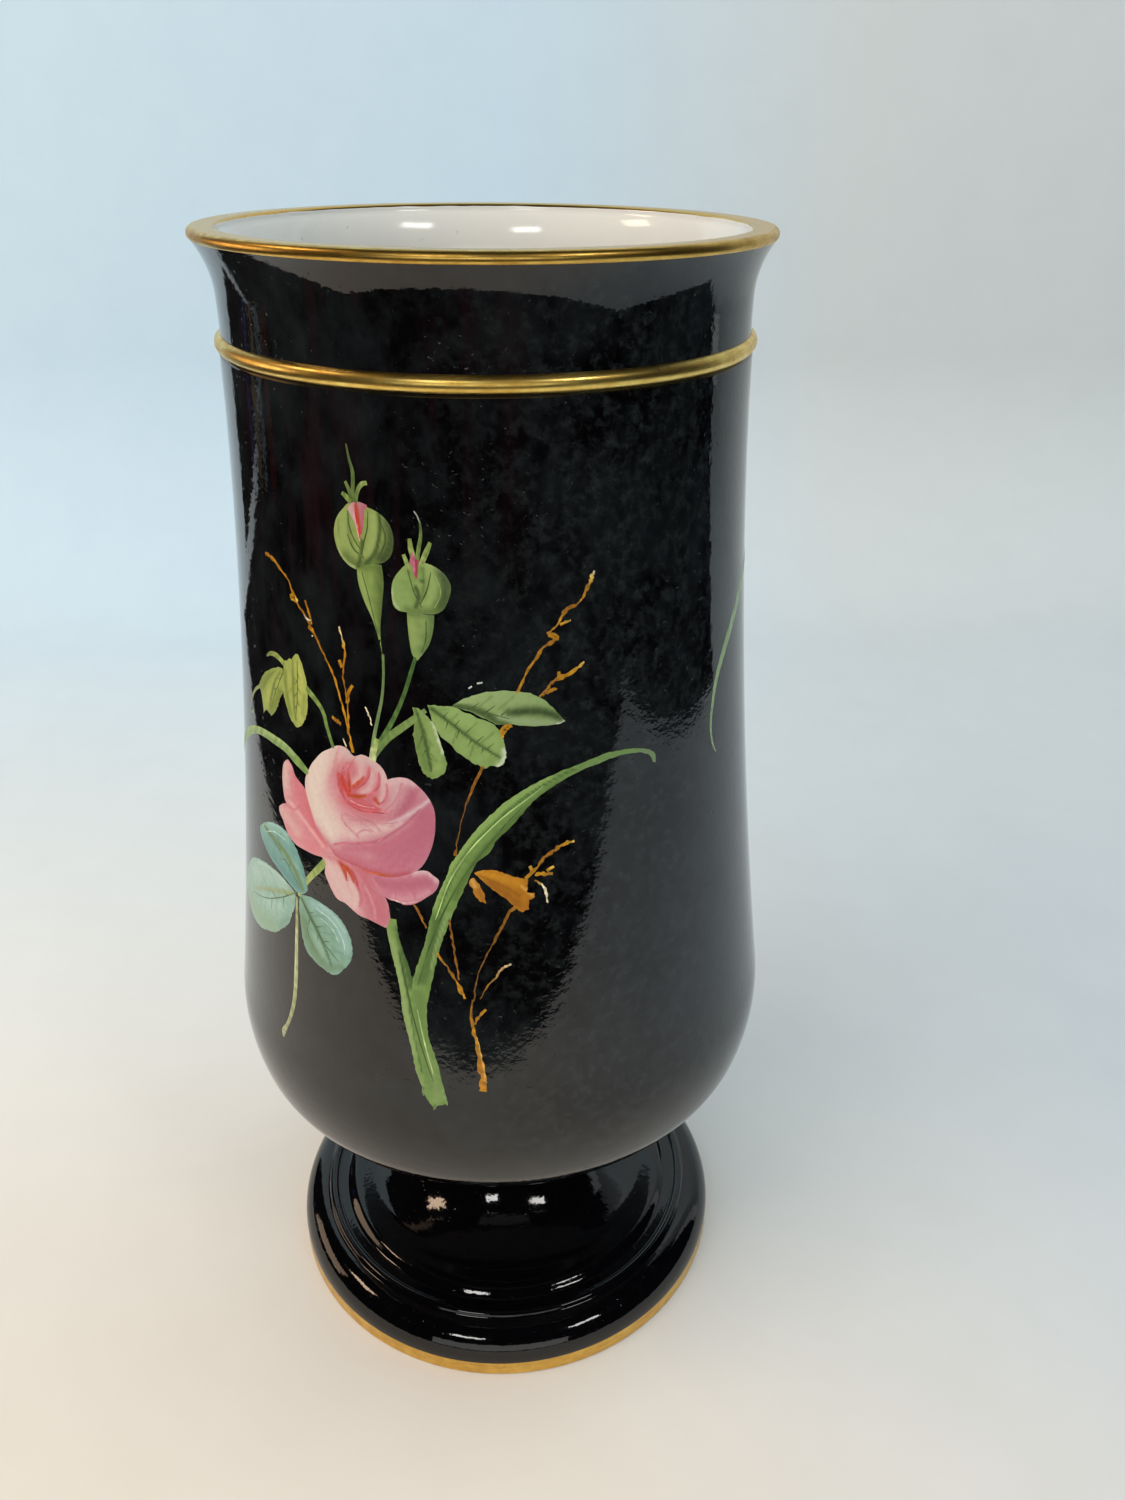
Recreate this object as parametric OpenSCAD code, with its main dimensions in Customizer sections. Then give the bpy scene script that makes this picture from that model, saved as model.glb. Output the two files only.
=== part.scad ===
// Footed flower vase: a gilded, black-ground porcelain bowl bolted to its own hollow foot.
// Every turned outline is a list of [radius, height] points, read from its top end down.

/* [Vase] */
// Height from the table to the top of the lip
vase_h = 295; // [245:1:355]
// Thickness of the porcelain wall
wall = 5; // [3.5:0.1:6]
// Thickness of the fired black ground and of the gilding
coat = 0.2; // [0.1:0.05:0.3]

/* [Lip and collar] */
// Diameter of the collar between the lip and the moulded ring
collar_d = 115.2; // [95:0.1:139]
// How far the lip stands out of the collar
lip_out = 4.2; // [3:0.1:6]
// Radius of the roll at the edge of the lip
lip_roll = 1.25; // [0.8:0.05:1.6]
// Height of the flare under the lip
flare_h = 11.6; // [9:0.1:14]
// Distance from the top of the lip down to the middle of the moulded ring
ring_drop = 22.5; // [18:0.1:30]
// Height of the moulded ring
ring_h = 3.4; // [2.8:0.1:5]
// How far the moulded ring stands out of the collar
ring_out = 1.4; // [0.8:0.1:1.6]

/* [Bowl] */
// How far the shoulder under the ring stands out of the collar
shoulder_out = 0.6; // [0.2:0.1:1.2]
// Diameter of the bowl at its widest
belly_d = 146.4; // [122:0.1:176]
// How long the bowl stays slim below the ring: 1 is a straight taper
taper_bend = 1.57; // [1:0.01:2]
// Radius of the curve at the widest part
belly_curve = 50; // [41:1:65]
// Radius of the turn under the belly
under_curve = 20; // [14:1:26]
// Radius of the hollow curve between the bowl and its neck
neck_curve = 4; // [2:0.1:5]
// Length of the bowl's neck above the joint
neck_len = 5.8; // [5.4:0.1:8]

/* [Foot] */
// Diameter of the foot at the table
foot_d = 130.8; // [109:0.1:157]
// Height of the foot from the table to the joint
foot_h = 50.7; // [42:0.1:61]
// Diameter of the neck at the joint
neck_d = 32; // [26.6:0.1:38.4]
// Height of the gilded edge
gilt_edge_h = 5; // [3:0.1:6]
// Height of the rounded rim above the gilded edge
rim_h = 8.4; // [7:0.1:10]
// Width of the rounded rim
rim_w = 8.2; // [6.8:0.1:10]
// Radius of the moulded fillet above the rim
fillet_r = 1.3; // [0.8:0.1:1.8]
// Width of the unglazed ring that the vase stands on
rest_w = 6; // [5:0.1:7.2]
// Thickness of the web that the joint bolt passes through
web_h = 12; // [10:0.1:15]

/* [Joint hardware] */
// Diameter of the joint bolt
bolt_d = 6; // [5:0.1:7.2]
// Length of bolt that shows below the nut
bolt_tail = 3; // [2:0.1:4]
// Thickness of the leather cushion between bowl and foot
cushion_h = 1.2; // [1:0.1:1.5]

/* [Hidden] */
$fn = 96;

collar_r = collar_d / 2;
lip_r = collar_r + lip_out;
shoulder_r = collar_r + shoulder_out;
belly_r = belly_d / 2;
foot_r = foot_d / 2;
neck_r = neck_d / 2;
bolt_r = bolt_d / 2;
joint_z = foot_h + cushion_h;
ring_z = vase_h - ring_drop;

// Clearances and small edges
bore_r = bolt_r + 0.6;
washer_bore_r = bolt_r + 0.2;
washer_gap = 1.5;
cushion_gap = 0.8;
shoulder_bevel = 0.6;
rest_chamfer = 0.5;
inner_lip_round = 1.2;

// Hardware sizes
seal_r = 4 * bolt_r;
seal_h = 2;
brass_r = seal_r - 1;
brass_h = 1.4;
under_seal_h = 1.6;
head_r = 2.4 * bolt_r;
head_edge_h = 1;
head_h = 3.6;
slot_w = 1.4;
slot_h = 1.6;
nut_r = 2.05 * bolt_r;
nut_h = 5;

// Colours
black = [0.03, 0.03, 0.035];
gold = [0.83, 0.62, 0.22];
porcelain = [0.93, 0.92, 0.89];
brass = [0.72, 0.58, 0.3];
leather = [0.45, 0.3, 0.18];
rubber = [0.2, 0.13, 0.1];

// ---- Outline helpers ----

// Points on an oval round (cx, cy), from angle a0 to angle a1 in n steps
function oval(cx, cy, rx, ry, a0, a1, n) =
    [for (i = [0:n]) let (a = a0 + (a1 - a0) * i / n) [cx + rx * cos(a), cy + ry * sin(a)]];

// The same on a circle
function arc(cx, cy, r, a0, a1, n) = oval(cx, cy, r, r, a0, a1, n);

// Points first to last of a list
function slice(p, first, last) = [for (i = [first:last]) p[i]];

// A list from its last point to its first
function reversed(p) = [for (i = [len(p) - 1:-1:0]) p[i]];

// Direction square to an outline at point i, out of the wall
function outward(p, i) =
    let (t = p[min(i + 1, len(p) - 1)] - p[max(i - 1, 0)])
    [-t.y, t.x] / norm(t);

// An outline moved into the wall by depth d
function inset(p, d) = [for (i = [0:len(p) - 1]) p[i] - d * outward(p, i)];

// A thin skin between points first and last of an outline and of its inset
module skin(outer, inner, first, last) {
    rotate_extrude()
        polygon(concat(slice(outer, first, last), reversed(slice(inner, first, last))));
}

// A flat round washer that stands on height z
module washer(r, hole_r, h, z) {
    translate([0, 0, z])
        difference() {
            cylinder(r = r, h = h);
            translate([0, 0, -1])
                cylinder(r = hole_r, h = h + 2);
        }
}

// ---- Outline of the bowl, from the lip down ----

// Rolled edge of the lip, from the middle of its top to its underside
lip_steps = 8;
lip_run = arc(lip_r - lip_roll, vase_h - lip_roll, lip_roll, 90, -50, lip_steps);
lip_end = lip_run[lip_steps];

// Flare: a hollow arc that leaves the collar upright
flare_w = lip_end.x - collar_r;
flare_r = (flare_h * flare_h + flare_w * flare_w) / (2 * flare_w);
flare_x = collar_r + flare_r;
flare_z = lip_end.y - flare_h;
flare_run = slice(arc(flare_x, flare_z, flare_r, 180 - asin(flare_h / flare_r), 180, 8), 1, 8);

// Moulded ring: part of a circle that stands out of the collar
ring_steps = 10;
ring_half = ring_h / 2;
ring_arc_r = (ring_half * ring_half + ring_out * ring_out) / (2 * ring_out);
ring_angle = asin(ring_half / ring_arc_r);
ring_x = collar_r + ring_out - ring_arc_r;
ring_run = arc(ring_x, ring_z, ring_arc_r, ring_angle, -ring_angle, ring_steps);

// Underside: three arcs that run on smoothly from the belly and end level, above the neck
taper_angle = 6;
under_angle = 14;
base_angle = 42;
base_x = neck_r + neck_curve;
base_z = joint_z + neck_len;
curve_step = belly_curve - under_curve;
belly_x = belly_r - belly_curve;
under_x = belly_x + curve_step * cos(under_angle);
base_curve = (under_x + under_curve * cos(base_angle) - base_x) / cos(base_angle);
under_z = base_z + base_curve - (base_curve - under_curve) * sin(base_angle);
belly_z = under_z + curve_step * sin(under_angle);

// The belly and underside at a depth inside the wall
function belly_line(depth) = concat(
    arc(belly_x, belly_z, belly_curve - depth, taper_angle, -under_angle, 6),
    slice(arc(under_x, under_z, under_curve - depth, -under_angle, -base_angle, 10), 1, 10),
    slice(arc(base_x, base_z + base_curve, base_curve - depth, -base_angle, -90, 5), 1, 5));

// Long taper from the shoulder down to the belly
taper_steps = 16;
taper_top = [shoulder_r, ring_z - ring_half - shoulder_bevel];
taper_end = belly_line(0)[0];
taper_run = [for (i = [0:taper_steps - 1]) let (t = i / taper_steps) [
    taper_top.x + (taper_end.x - taper_top.x) * pow(t, taper_bend),
    taper_top.y + (taper_end.y - taper_top.y) * t]];

// Hollow curve from the underside to the upright neck
neck_run = slice(arc(base_x, base_z - neck_curve, neck_curve, 90, 180, 6), 1, 6);

bowl_line = concat(lip_run, flare_run, ring_run, taper_run, belly_line(0), neck_run,
    [[neck_r, joint_z]]);
bowl_under_coat = inset(bowl_line, coat);
ring_first = len(lip_run) + len(flare_run);
ring_last = ring_first + ring_steps;

// White inside, from the inner edge of the lip down to the level floor
floor_z = base_z + wall;
inner_flare_angle = asin((vase_h - inner_lip_round - flare_z) / (flare_r + wall));
inner_flare = arc(flare_x, flare_z, flare_r + wall, 180 - inner_flare_angle, 180, 8);
inner_lip_x = inner_flare[0].x + inner_lip_round;
inner_lip = slice(arc(inner_lip_x, vase_h - inner_lip_round, inner_lip_round, 90, 180, 4), 0, 3);
inner_line = concat(inner_lip, inner_flare, [for (p = taper_run) p - [wall, 0]],
    belly_line(wall));

// ---- Outline of the foot, from the joint down ----

rim_top = gilt_edge_h + rim_h;
rim_x = foot_r - rim_w;
sweep_x = rim_x - 2 * fillet_r;
neck_band_h = 7;
sweep_z = foot_h - neck_band_h;
sweep_w = sweep_x - neck_r;
sweep_h = sweep_z - rim_top;
foot_line = concat(
    [[neck_r, foot_h]],
    oval(sweep_x, sweep_z, sweep_w, sweep_h, 180, 270, 20),
    slice(arc(rim_x - fillet_r, rim_top, fillet_r, 180, 0, 8), 1, 8),
    slice(oval(rim_x, gilt_edge_h, rim_w, rim_h, 90, 0, 10), 1, 10),
    [[foot_r, rest_chamfer]]);
foot_under_coat = inset(foot_line, coat);
foot_last = len(foot_line) - 1;

// Hollow inside of the foot, from the web down to the resting ring
web_z = foot_h - web_h;
hollow_angle = asin((sweep_z - web_z) / (sweep_h + wall));
hollow_sweep = oval(sweep_x, sweep_z, sweep_w + wall, sweep_h + wall, 180 + hollow_angle, 270, 16);
hollow_top_r = hollow_sweep[0].x;
rest_inner_r = foot_r - rest_w;
hollow_turn_h = min(rest_inner_r - sweep_x, rim_top - wall - 1);
hollow_turn = slice(oval(sweep_x, rim_top - wall - hollow_turn_h, rest_inner_r - sweep_x,
    hollow_turn_h, 90, 0, 5), 1, 5);
hollow_line = concat(hollow_sweep, hollow_turn, [[rest_inner_r, 0]]);

// ---- Joint hardware, stacked up and down from the two porcelain faces ----

brass_z = floor_z + seal_h;
head_z = brass_z + brass_h;
under_r = hollow_top_r - washer_gap;
under_seal_z = web_z - under_seal_h;
under_brass_z = under_seal_z - brass_h;
nut_z = under_brass_z - nut_h;
bolt_end_z = nut_z - bolt_tail;

// ---- Sub-parts ----

// Porcelain bowl with its lip, moulded ring and short neck
module vase_bowl() {
    color(porcelain)
        rotate_extrude()
            polygon(concat([bowl_line[0]], bowl_under_coat,
                [[bore_r, joint_z], [bore_r, floor_z]], reversed(inner_line)));
}

// Black ground of the bowl: one band on the collar and one from the ring to the neck
module bowl_black_ground() {
    color(black) {
        skin(bowl_line, bowl_under_coat, lip_steps, ring_first);
        skin(bowl_line, bowl_under_coat, ring_last, len(bowl_line) - 1);
    }
}

// Gilding on the rolled edge of the lip
module lip_gilding() {
    color(gold)
        skin(bowl_line, bowl_under_coat, 0, lip_steps);
}

// Gilding on the moulded ring
module ring_gilding() {
    color(gold)
        skin(bowl_line, bowl_under_coat, ring_first, ring_last);
}

// Hollow porcelain foot with the web that carries the joint
module vase_foot() {
    color(porcelain)
        rotate_extrude()
            polygon(concat(foot_under_coat, [[foot_r - coat - rest_chamfer, 0]],
                reversed(hollow_line), [[bore_r, web_z], [bore_r, foot_h]]));
}

// Black ground of the foot, down to the gilded edge
module foot_black_ground() {
    color(black)
        skin(foot_line, foot_under_coat, 0, foot_last - 1);
}

// Gilding on the upright edge of the foot
module foot_edge_gilding() {
    color(gold)
        skin(foot_line, foot_under_coat, foot_last - 1, foot_last);
}

// Bolt with a slotted, domed head inside the bowl
module joint_bolt() {
    dome = oval(0, head_z + head_edge_h, head_r, head_h - head_edge_h, 90, 0, 10);
    color(brass)
        difference() {
            rotate_extrude()
                polygon(concat(dome, [[head_r, head_z], [bolt_r, head_z], [bolt_r, bolt_end_z],
                    [0, bolt_end_z]]));
            translate([-head_r - 1, -slot_w / 2, head_z + head_h - slot_h])
                cube([2 * head_r + 2, slot_w, slot_h + 1]);
        }
}

// Rubber washer that keeps the water in the bowl
module bowl_seal_washer() {
    color(rubber)
        washer(seal_r, washer_bore_r, seal_h, floor_z);
}

// Brass washer under the head of the bolt
module bowl_brass_washer() {
    color(brass)
        washer(brass_r, washer_bore_r, brass_h, brass_z);
}

// Leather cushion between the two porcelain faces
module neck_cushion() {
    color(leather)
        washer(neck_r - cushion_gap, washer_bore_r, cushion_h, foot_h);
}

// Leather washer under the web of the foot
module foot_cushion_washer() {
    color(leather)
        washer(under_r, washer_bore_r, under_seal_h, under_seal_z);
}

// Brass washer above the nut
module foot_brass_washer() {
    color(brass)
        washer(under_r, washer_bore_r, brass_h, under_brass_z);
}

// Six-sided nut inside the hollow foot
module joint_nut() {
    color(brass)
        translate([0, 0, nut_z])
            difference() {
                cylinder(r = nut_r, h = nut_h, $fn = 6);
                translate([0, 0, -1])
                    cylinder(r = bolt_r, h = nut_h + 2);
            }
}

vase_bowl();
bowl_black_ground();
lip_gilding();
ring_gilding();
vase_foot();
foot_black_ground();
foot_edge_gilding();
joint_bolt();
bowl_seal_washer();
bowl_brass_washer();
neck_cushion();
foot_cushion_washer();
foot_brass_washer();
joint_nut();
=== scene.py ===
# %% [markdown]
# # A black-ground porcelain vase with a painted rose spray
#
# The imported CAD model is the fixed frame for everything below. It holds the vase at its real size, as
# fourteen separate pieces, and this lesson gives those pieces their finish: turned shells with a fired
# black glaze, worn gilding, a white glazed inside, and a spray of roses laid on in raised enamel.
# Lengths are in metres, as everywhere in Blender, and MM turns millimetres into them.

# %% Load the frame
from math import cos, pi, radians, sin

import bpy
import numpy as np
from mathutils import Matrix, Vector


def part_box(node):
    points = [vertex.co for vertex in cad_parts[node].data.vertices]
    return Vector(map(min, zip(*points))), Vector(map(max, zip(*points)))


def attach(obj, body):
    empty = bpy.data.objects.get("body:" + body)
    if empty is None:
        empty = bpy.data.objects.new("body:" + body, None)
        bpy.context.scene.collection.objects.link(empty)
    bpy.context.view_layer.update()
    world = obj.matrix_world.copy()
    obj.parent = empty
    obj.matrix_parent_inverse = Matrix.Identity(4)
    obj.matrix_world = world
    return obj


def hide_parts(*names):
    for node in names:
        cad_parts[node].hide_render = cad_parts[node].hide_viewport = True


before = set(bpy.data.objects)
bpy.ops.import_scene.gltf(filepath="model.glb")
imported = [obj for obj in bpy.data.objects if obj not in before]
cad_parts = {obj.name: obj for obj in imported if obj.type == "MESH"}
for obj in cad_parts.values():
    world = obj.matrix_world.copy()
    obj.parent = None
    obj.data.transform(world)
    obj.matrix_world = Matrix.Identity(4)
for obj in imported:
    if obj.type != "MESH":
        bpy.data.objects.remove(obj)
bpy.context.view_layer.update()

MM = 0.001

# %% [markdown]
# The camera stands where a person with a phone would hold it: just over a quarter of a metre in front of
# the vase, a little above its lip, looking down at it. A phone's main lens is about 28 mm long on a
# full-size sensor, so the vase narrows strongly towards its foot.

# %% Camera
EYE = Vector((0, -272.15, 314.96)) * MM
TURN_RIGHT = radians(3.60)
LOOK_DOWN = radians(28.58)
ROLL = radians(0.46)
LENS = 27.98


def place_camera():
    camera_data = bpy.data.cameras.new("camera")
    camera_data.lens = LENS
    camera = bpy.data.objects.new("camera", camera_data)
    bpy.context.scene.collection.objects.link(camera)
    turn = Matrix.Rotation(-TURN_RIGHT, 4, "Z")
    tilt = Matrix.Rotation(radians(90) - LOOK_DOWN, 4, "X")
    roll = Matrix.Rotation(ROLL, 4, "Z")
    camera.matrix_world = Matrix.Translation(EYE) @ turn @ tilt @ roll
    bpy.context.scene.camera = camera
    return camera


camera = place_camera()
print("camera at", camera.location)

# %% [markdown]
# Every finish is a small net of shader nodes. Drawing such a net by hand is slow to read back later, so
# two helpers do it in words: Wire stands for one output socket, and sums on wires add Math nodes;
# Finish is one material, and its node method adds any other node and hands back its wires.

# %% Shader helpers
class Wire:
    """One output socket of a node. Sums of wires and numbers add Math nodes."""

    def __init__(self, finish, socket):
        self.finish = finish
        self.socket = socket

    def math(self, operation, first, second=0.0):
        settings = {"operation": operation}
        return self.finish.node("ShaderNodeMath", settings, {0: first, 1: second})

    def __add__(self, other):
        return self.math("ADD", self, other)

    def __sub__(self, other):
        return self.math("SUBTRACT", self, other)

    def __rsub__(self, other):
        return self.math("SUBTRACT", other, self)

    def __mul__(self, other):
        return self.math("MULTIPLY", self, other)

    def __truediv__(self, other):
        return self.math("DIVIDE", self, other)

    def __pow__(self, other):
        return self.math("POWER", self, other)

    def above(self, level):
        return self.math("GREATER_THAN", self, level)

    __radd__ = __add__
    __rmul__ = __mul__


class Finish:
    """A material with a Principled shader, and the one method that adds nodes to it."""

    def __init__(self, name, **constants):
        self.material = bpy.data.materials.new(name)
        self.material.use_nodes = True
        self.tree = self.material.node_tree
        self.shader = self.tree.nodes["Principled BSDF"]
        for socket, value in constants.items():
            self.shader.inputs[socket.replace("_", " ")].default_value = value
        self.place = self.node("ShaderNodeTexCoord", out="Object")

    def node(self, kind, settings=None, sockets=None, out=0):
        new = self.tree.nodes.new(kind)
        for name, value in (settings or {}).items():
            if name == "stops":
                ramp = new.color_ramp
                for stop, (position, shade) in zip((ramp.elements[0], ramp.elements[1]), value):
                    stop.position = position
                    stop.color = (shade, shade, shade, 1)
            else:
                setattr(new, name, value)
        for name, value in (sockets or {}).items():
            self.link(value, new.inputs[name])
        return Wire(self, new.outputs[out])

    def link(self, value, socket):
        if isinstance(value, Wire):
            self.tree.links.new(value.socket, socket)
        else:
            socket.default_value = value

    def set(self, socket, value):
        self.link(value, self.shader.inputs[socket])

    def noise(self, size, detail=2.0, roughness=0.5, stretch=(1, 1, 1), distortion=0.0):
        """Cloudy noise whose lumps are about size metres across, longer where stretch is over 1."""
        scale = [1 / s for s in stretch]
        spot = self.node("ShaderNodeMapping", None, {"Vector": self.place, "Scale": scale})
        sockets = {"Vector": spot, "Scale": 1 / size, "Detail": detail, "Roughness": roughness}
        sockets["Distortion"] = distortion
        return self.node("ShaderNodeTexNoise", None, sockets)

    def ramp(self, value, low, high):
        """0 below low, 1 above high, and a straight line in between."""
        return self.node("ShaderNodeValToRGB", {"stops": ((low, 0), (high, 1))}, {"Fac": value})

    def mix(self, share, first, second):
        """Colour first where share is 0, and second where it is 1."""
        sockets = {0: share, 6: first, 7: second}
        return self.node("ShaderNodeMix", {"data_type": "RGBA"}, sockets, out=2)

    def bump(self, height, distance, normal=None):
        sockets = {"Height": height, "Distance": distance, "Strength": 1.0}
        if normal:
            sockets["Normal"] = normal
        return self.node("ShaderNodeBump", None, sockets)

    def rise(self, value, start, end):
        """0 where the value is at start, 1 where it is at end, and clamped beyond."""
        return self.node("ShaderNodeMapRange", None, {0: value, 1: start, 2: end})

    def axis(self, letter):
        return self.node("ShaderNodeSeparateXYZ", None, {0: self.place}, out=letter)


def linear(shades):
    """Shades given on a 0 to 255 chart, as the linear values that a shader wants."""
    part = np.clip(np.asarray(shades) / 255, 0, 1)
    return np.where(part <= 0.04045, part / 12.92, ((part + 0.055) / 1.055) ** 2.4)


def colour(red, green, blue):
    """An opaque colour given on that chart."""
    return (*linear((red, green, blue)), 1)


print("helpers ready")

# %% [markdown]
# A potter throws or turns such a vase, so its shells are bodies of revolution. The CAD solids hold the
# exact outlines, but as flat facets, and a black mirror glaze shows every facet. So each outline is
# read back from its CAD node, rounded between its own points, and turned again with many more steps.
# A subdivision modifier on the facets would be quicker, but it would eat the thin gilded edges.

# %% Read an outline from a turned CAD node
SAME_SPOT = 0.005 * MM


def coordinates(mesh):
    """Every vertex of a mesh, one row each."""
    places = np.empty(len(mesh.vertices) * 3)
    mesh.vertices.foreach_get("co", places)
    return places.reshape(-1, 3)


def section(node):
    """The closed outlines that a turned node was made from, as arrays of (radius, height) rows."""
    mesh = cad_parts[node].data
    places = coordinates(mesh)
    spots = np.column_stack((np.hypot(places[:, 0], places[:, 1]), places[:, 2]))
    station = np.full(len(spots), -1)
    found = []
    while (station < 0).any():
        first = spots[np.argmax(station < 0)]
        near = (np.abs(spots - first).max(axis=1) < SAME_SPOT) & (station < 0)
        station[near] = len(found)
        found.append(first)
    ends = np.empty(len(mesh.edges) * 2, dtype=int)
    mesh.edges.foreach_get("vertices", ends)
    pairs = {tuple(sorted(pair)) for pair in station[ends].reshape(-1, 2).tolist()}
    beside = {index: [] for index in range(len(found))}
    for low, high in pairs:
        if low != high:
            beside[low].append(high)
            beside[high].append(low)
    outlines = []
    while beside:
        walk = [next(iter(beside))]
        while True:
            options = [n for n in beside.pop(walk[-1]) if n in beside]
            if not options:
                break
            walk.append(options[0])
        outlines.append(np.array([found[index] for index in walk]))
    return outlines


bowl_section = section("vase_bowl")
print("vase_bowl outline:", [len(loop) for loop in bowl_section], "points")

# %% [markdown]
# Rounding an outline means passing one smooth cubic through its points. A real corner, such as the edge
# of the resting ring, must stay a corner, so wherever the outline turns by more than thirty degrees the
# cubic stops and starts afresh. The same helper later smooths the lines of the painting.

# %% Round an outline between its points
SHARP = radians(30)
FINE_TURN = radians(4)


def directions(points, closed):
    """Unit directions of the stretches after each point, and the stretches' lengths."""
    after = np.roll(points, -1, axis=0) if closed else points[1:]
    steps = after - points[: len(after)]
    lengths = np.linalg.norm(steps, axis=1)
    return steps / lengths[:, None], lengths


def smoothed(points, closed=True, longest=5 * MM, sharp=SHARP):
    """The same line with points added on a smooth cubic, and its real corners kept."""
    points = np.asarray(points, dtype=float)
    way, length = directions(points, closed)
    count = len(points)
    stretches = len(way)
    leaving = [None] * count
    arriving = [None] * count
    for index in range(count):
        before = (index - 1) % stretches if closed else index - 1
        after = index if index < stretches else None
        if before < 0 or after is None:
            continue
        turn = np.arccos(np.clip(way[before] @ way[after], -1, 1))
        if turn < sharp:
            share = length[before] / (length[before] + length[after])
            leaving[index] = arriving[index] = way[before] * (1 - share) + way[after] * share
    fine = []
    for index in range(stretches):
        other = (index + 1) % count
        start, end, chord, gap = points[index], points[other], way[index], length[index]
        go, come = leaving[index], arriving[other]
        if go is None and come is None:
            go = come = chord
        elif go is None:
            go = 2 * chord - come
        elif come is None:
            come = 2 * chord - go
        bend = np.arccos(np.clip(go @ come / np.linalg.norm(go) / np.linalg.norm(come), -1, 1))
        parts = int(max(1, np.ceil(bend / FINE_TURN), np.ceil(gap / longest)))
        for t in np.arange(parts) / parts:
            here = (2 * t**3 - 3 * t**2 + 1) * start + (3 * t**2 - 2 * t**3) * end
            here = here + gap * ((t**3 - 2 * t**2 + t) * go + (t**3 - t**2) * come)
            fine.append(here)
    if not closed:
        fine.append(points[-1])
    return np.array(fine)


bowl_outline = smoothed(bowl_section[0])
print("rounded bowl outline:", len(bowl_outline), "points")

# %% [markdown]
# The wheel itself is Blender's Screw modifier with no climb: the outline is drawn as loose edges in the
# plane of X and Z, and the modifier carries it once round the Z axis and merges the seam. The spin
# operator does the same but slows down as the mesh grows. The faces are turned outwards afterwards.

# %% Turn an outline on the wheel
STEPS_ROUND = 160


def clear_selection():
    if bpy.context.object and bpy.context.object.mode != "OBJECT":
        bpy.ops.object.mode_set(mode="OBJECT")
    bpy.ops.object.select_all(action="DESELECT")


def pick(thing):
    """Makes this object the only one that the operators act on."""
    clear_selection()
    thing.select_set(True)
    bpy.context.view_layer.objects.active = thing


def face_outwards(piece):
    pick(piece)
    bpy.ops.object.mode_set(mode="EDIT")
    bpy.ops.mesh.select_all(action="SELECT")
    bpy.ops.mesh.normals_make_consistent(inside=False)
    bpy.ops.object.mode_set(mode="OBJECT")


def new_piece(name, data):
    piece = bpy.data.objects.new(name, data)
    bpy.context.scene.collection.objects.link(piece)
    return piece


def turned(name, outlines):
    """A lathe piece from closed outlines of (radius, height) rows."""
    corners, edges = [], []
    for outline in outlines:
        first = len(corners)
        corners += [(radius, 0, height) for radius, height in outline]
        last = len(corners) - 1
        edges += [(index, index + 1) for index in range(first, last)] + [(last, first)]
    mesh = bpy.data.meshes.new(name)
    mesh.from_pydata(corners, edges, [])
    piece = new_piece(name, mesh)
    wheel = piece.modifiers.new("wheel", "SCREW")
    wheel.angle = 2 * pi
    wheel.steps = STEPS_ROUND
    wheel.render_steps = STEPS_ROUND
    wheel.use_merge_vertices = True
    wheel.merge_threshold = 0.002 * MM
    pick(piece)
    bpy.ops.object.modifier_apply(modifier="wheel")
    face_outwards(piece)
    bpy.ops.object.shade_smooth_by_angle(angle=SHARP)
    return piece


def shell(name, node, pooled=None):
    """The smooth lathe piece that stands for a CAD node. The pooled helper may thicken its glaze."""
    outlines = []
    for loop in section(node):
        fine = np.clip(smoothed(loop), loop.min(axis=0), loop.max(axis=0))
        outlines.append(pooled(fine) if pooled else fine)
    piece = turned(name, outlines)
    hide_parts(node)
    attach(piece, "root")
    print(name, len(piece.data.polygons), "faces")
    return piece


# %% [markdown]
# Fired glaze is a thick liquid. It runs down the foot, gathers in a soft ridge round the foot's middle,
# and pools in the crease above the rim, so that neither stays crisp. The ridge falls away steeply enough
# to catch the lamps in front. The upper face of the foot's black coat is redrawn here with that ridge
# and with the crease half filled; its lower face keeps the porcelain's own outline.

# %% Pooled glaze on the foot
CREASE_RADIUS = 55.9 * MM
CREASE_LEVEL = 12.75 * MM
CREASE_HALF = 1.4 * MM
CLIMB_INSIDE = 0.85 * MM
CLIMB_OUTSIDE = 0.70 * MM
POOL_ROUNDING = 1.5 * MM
POOL_REACH = 2.3 * MM
RIDGE_START = 40.5 * MM
RIDGE_CREST = 48.7 * MM
RIDGE_END = 51.7 * MM
RIDGE_HEIGHT = 1.6 * MM
POOL_FROM = 40 * MM
POOL_TO = 60 * MM
POOL_ROWS = 100
EASING_PASSES = 6


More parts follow.
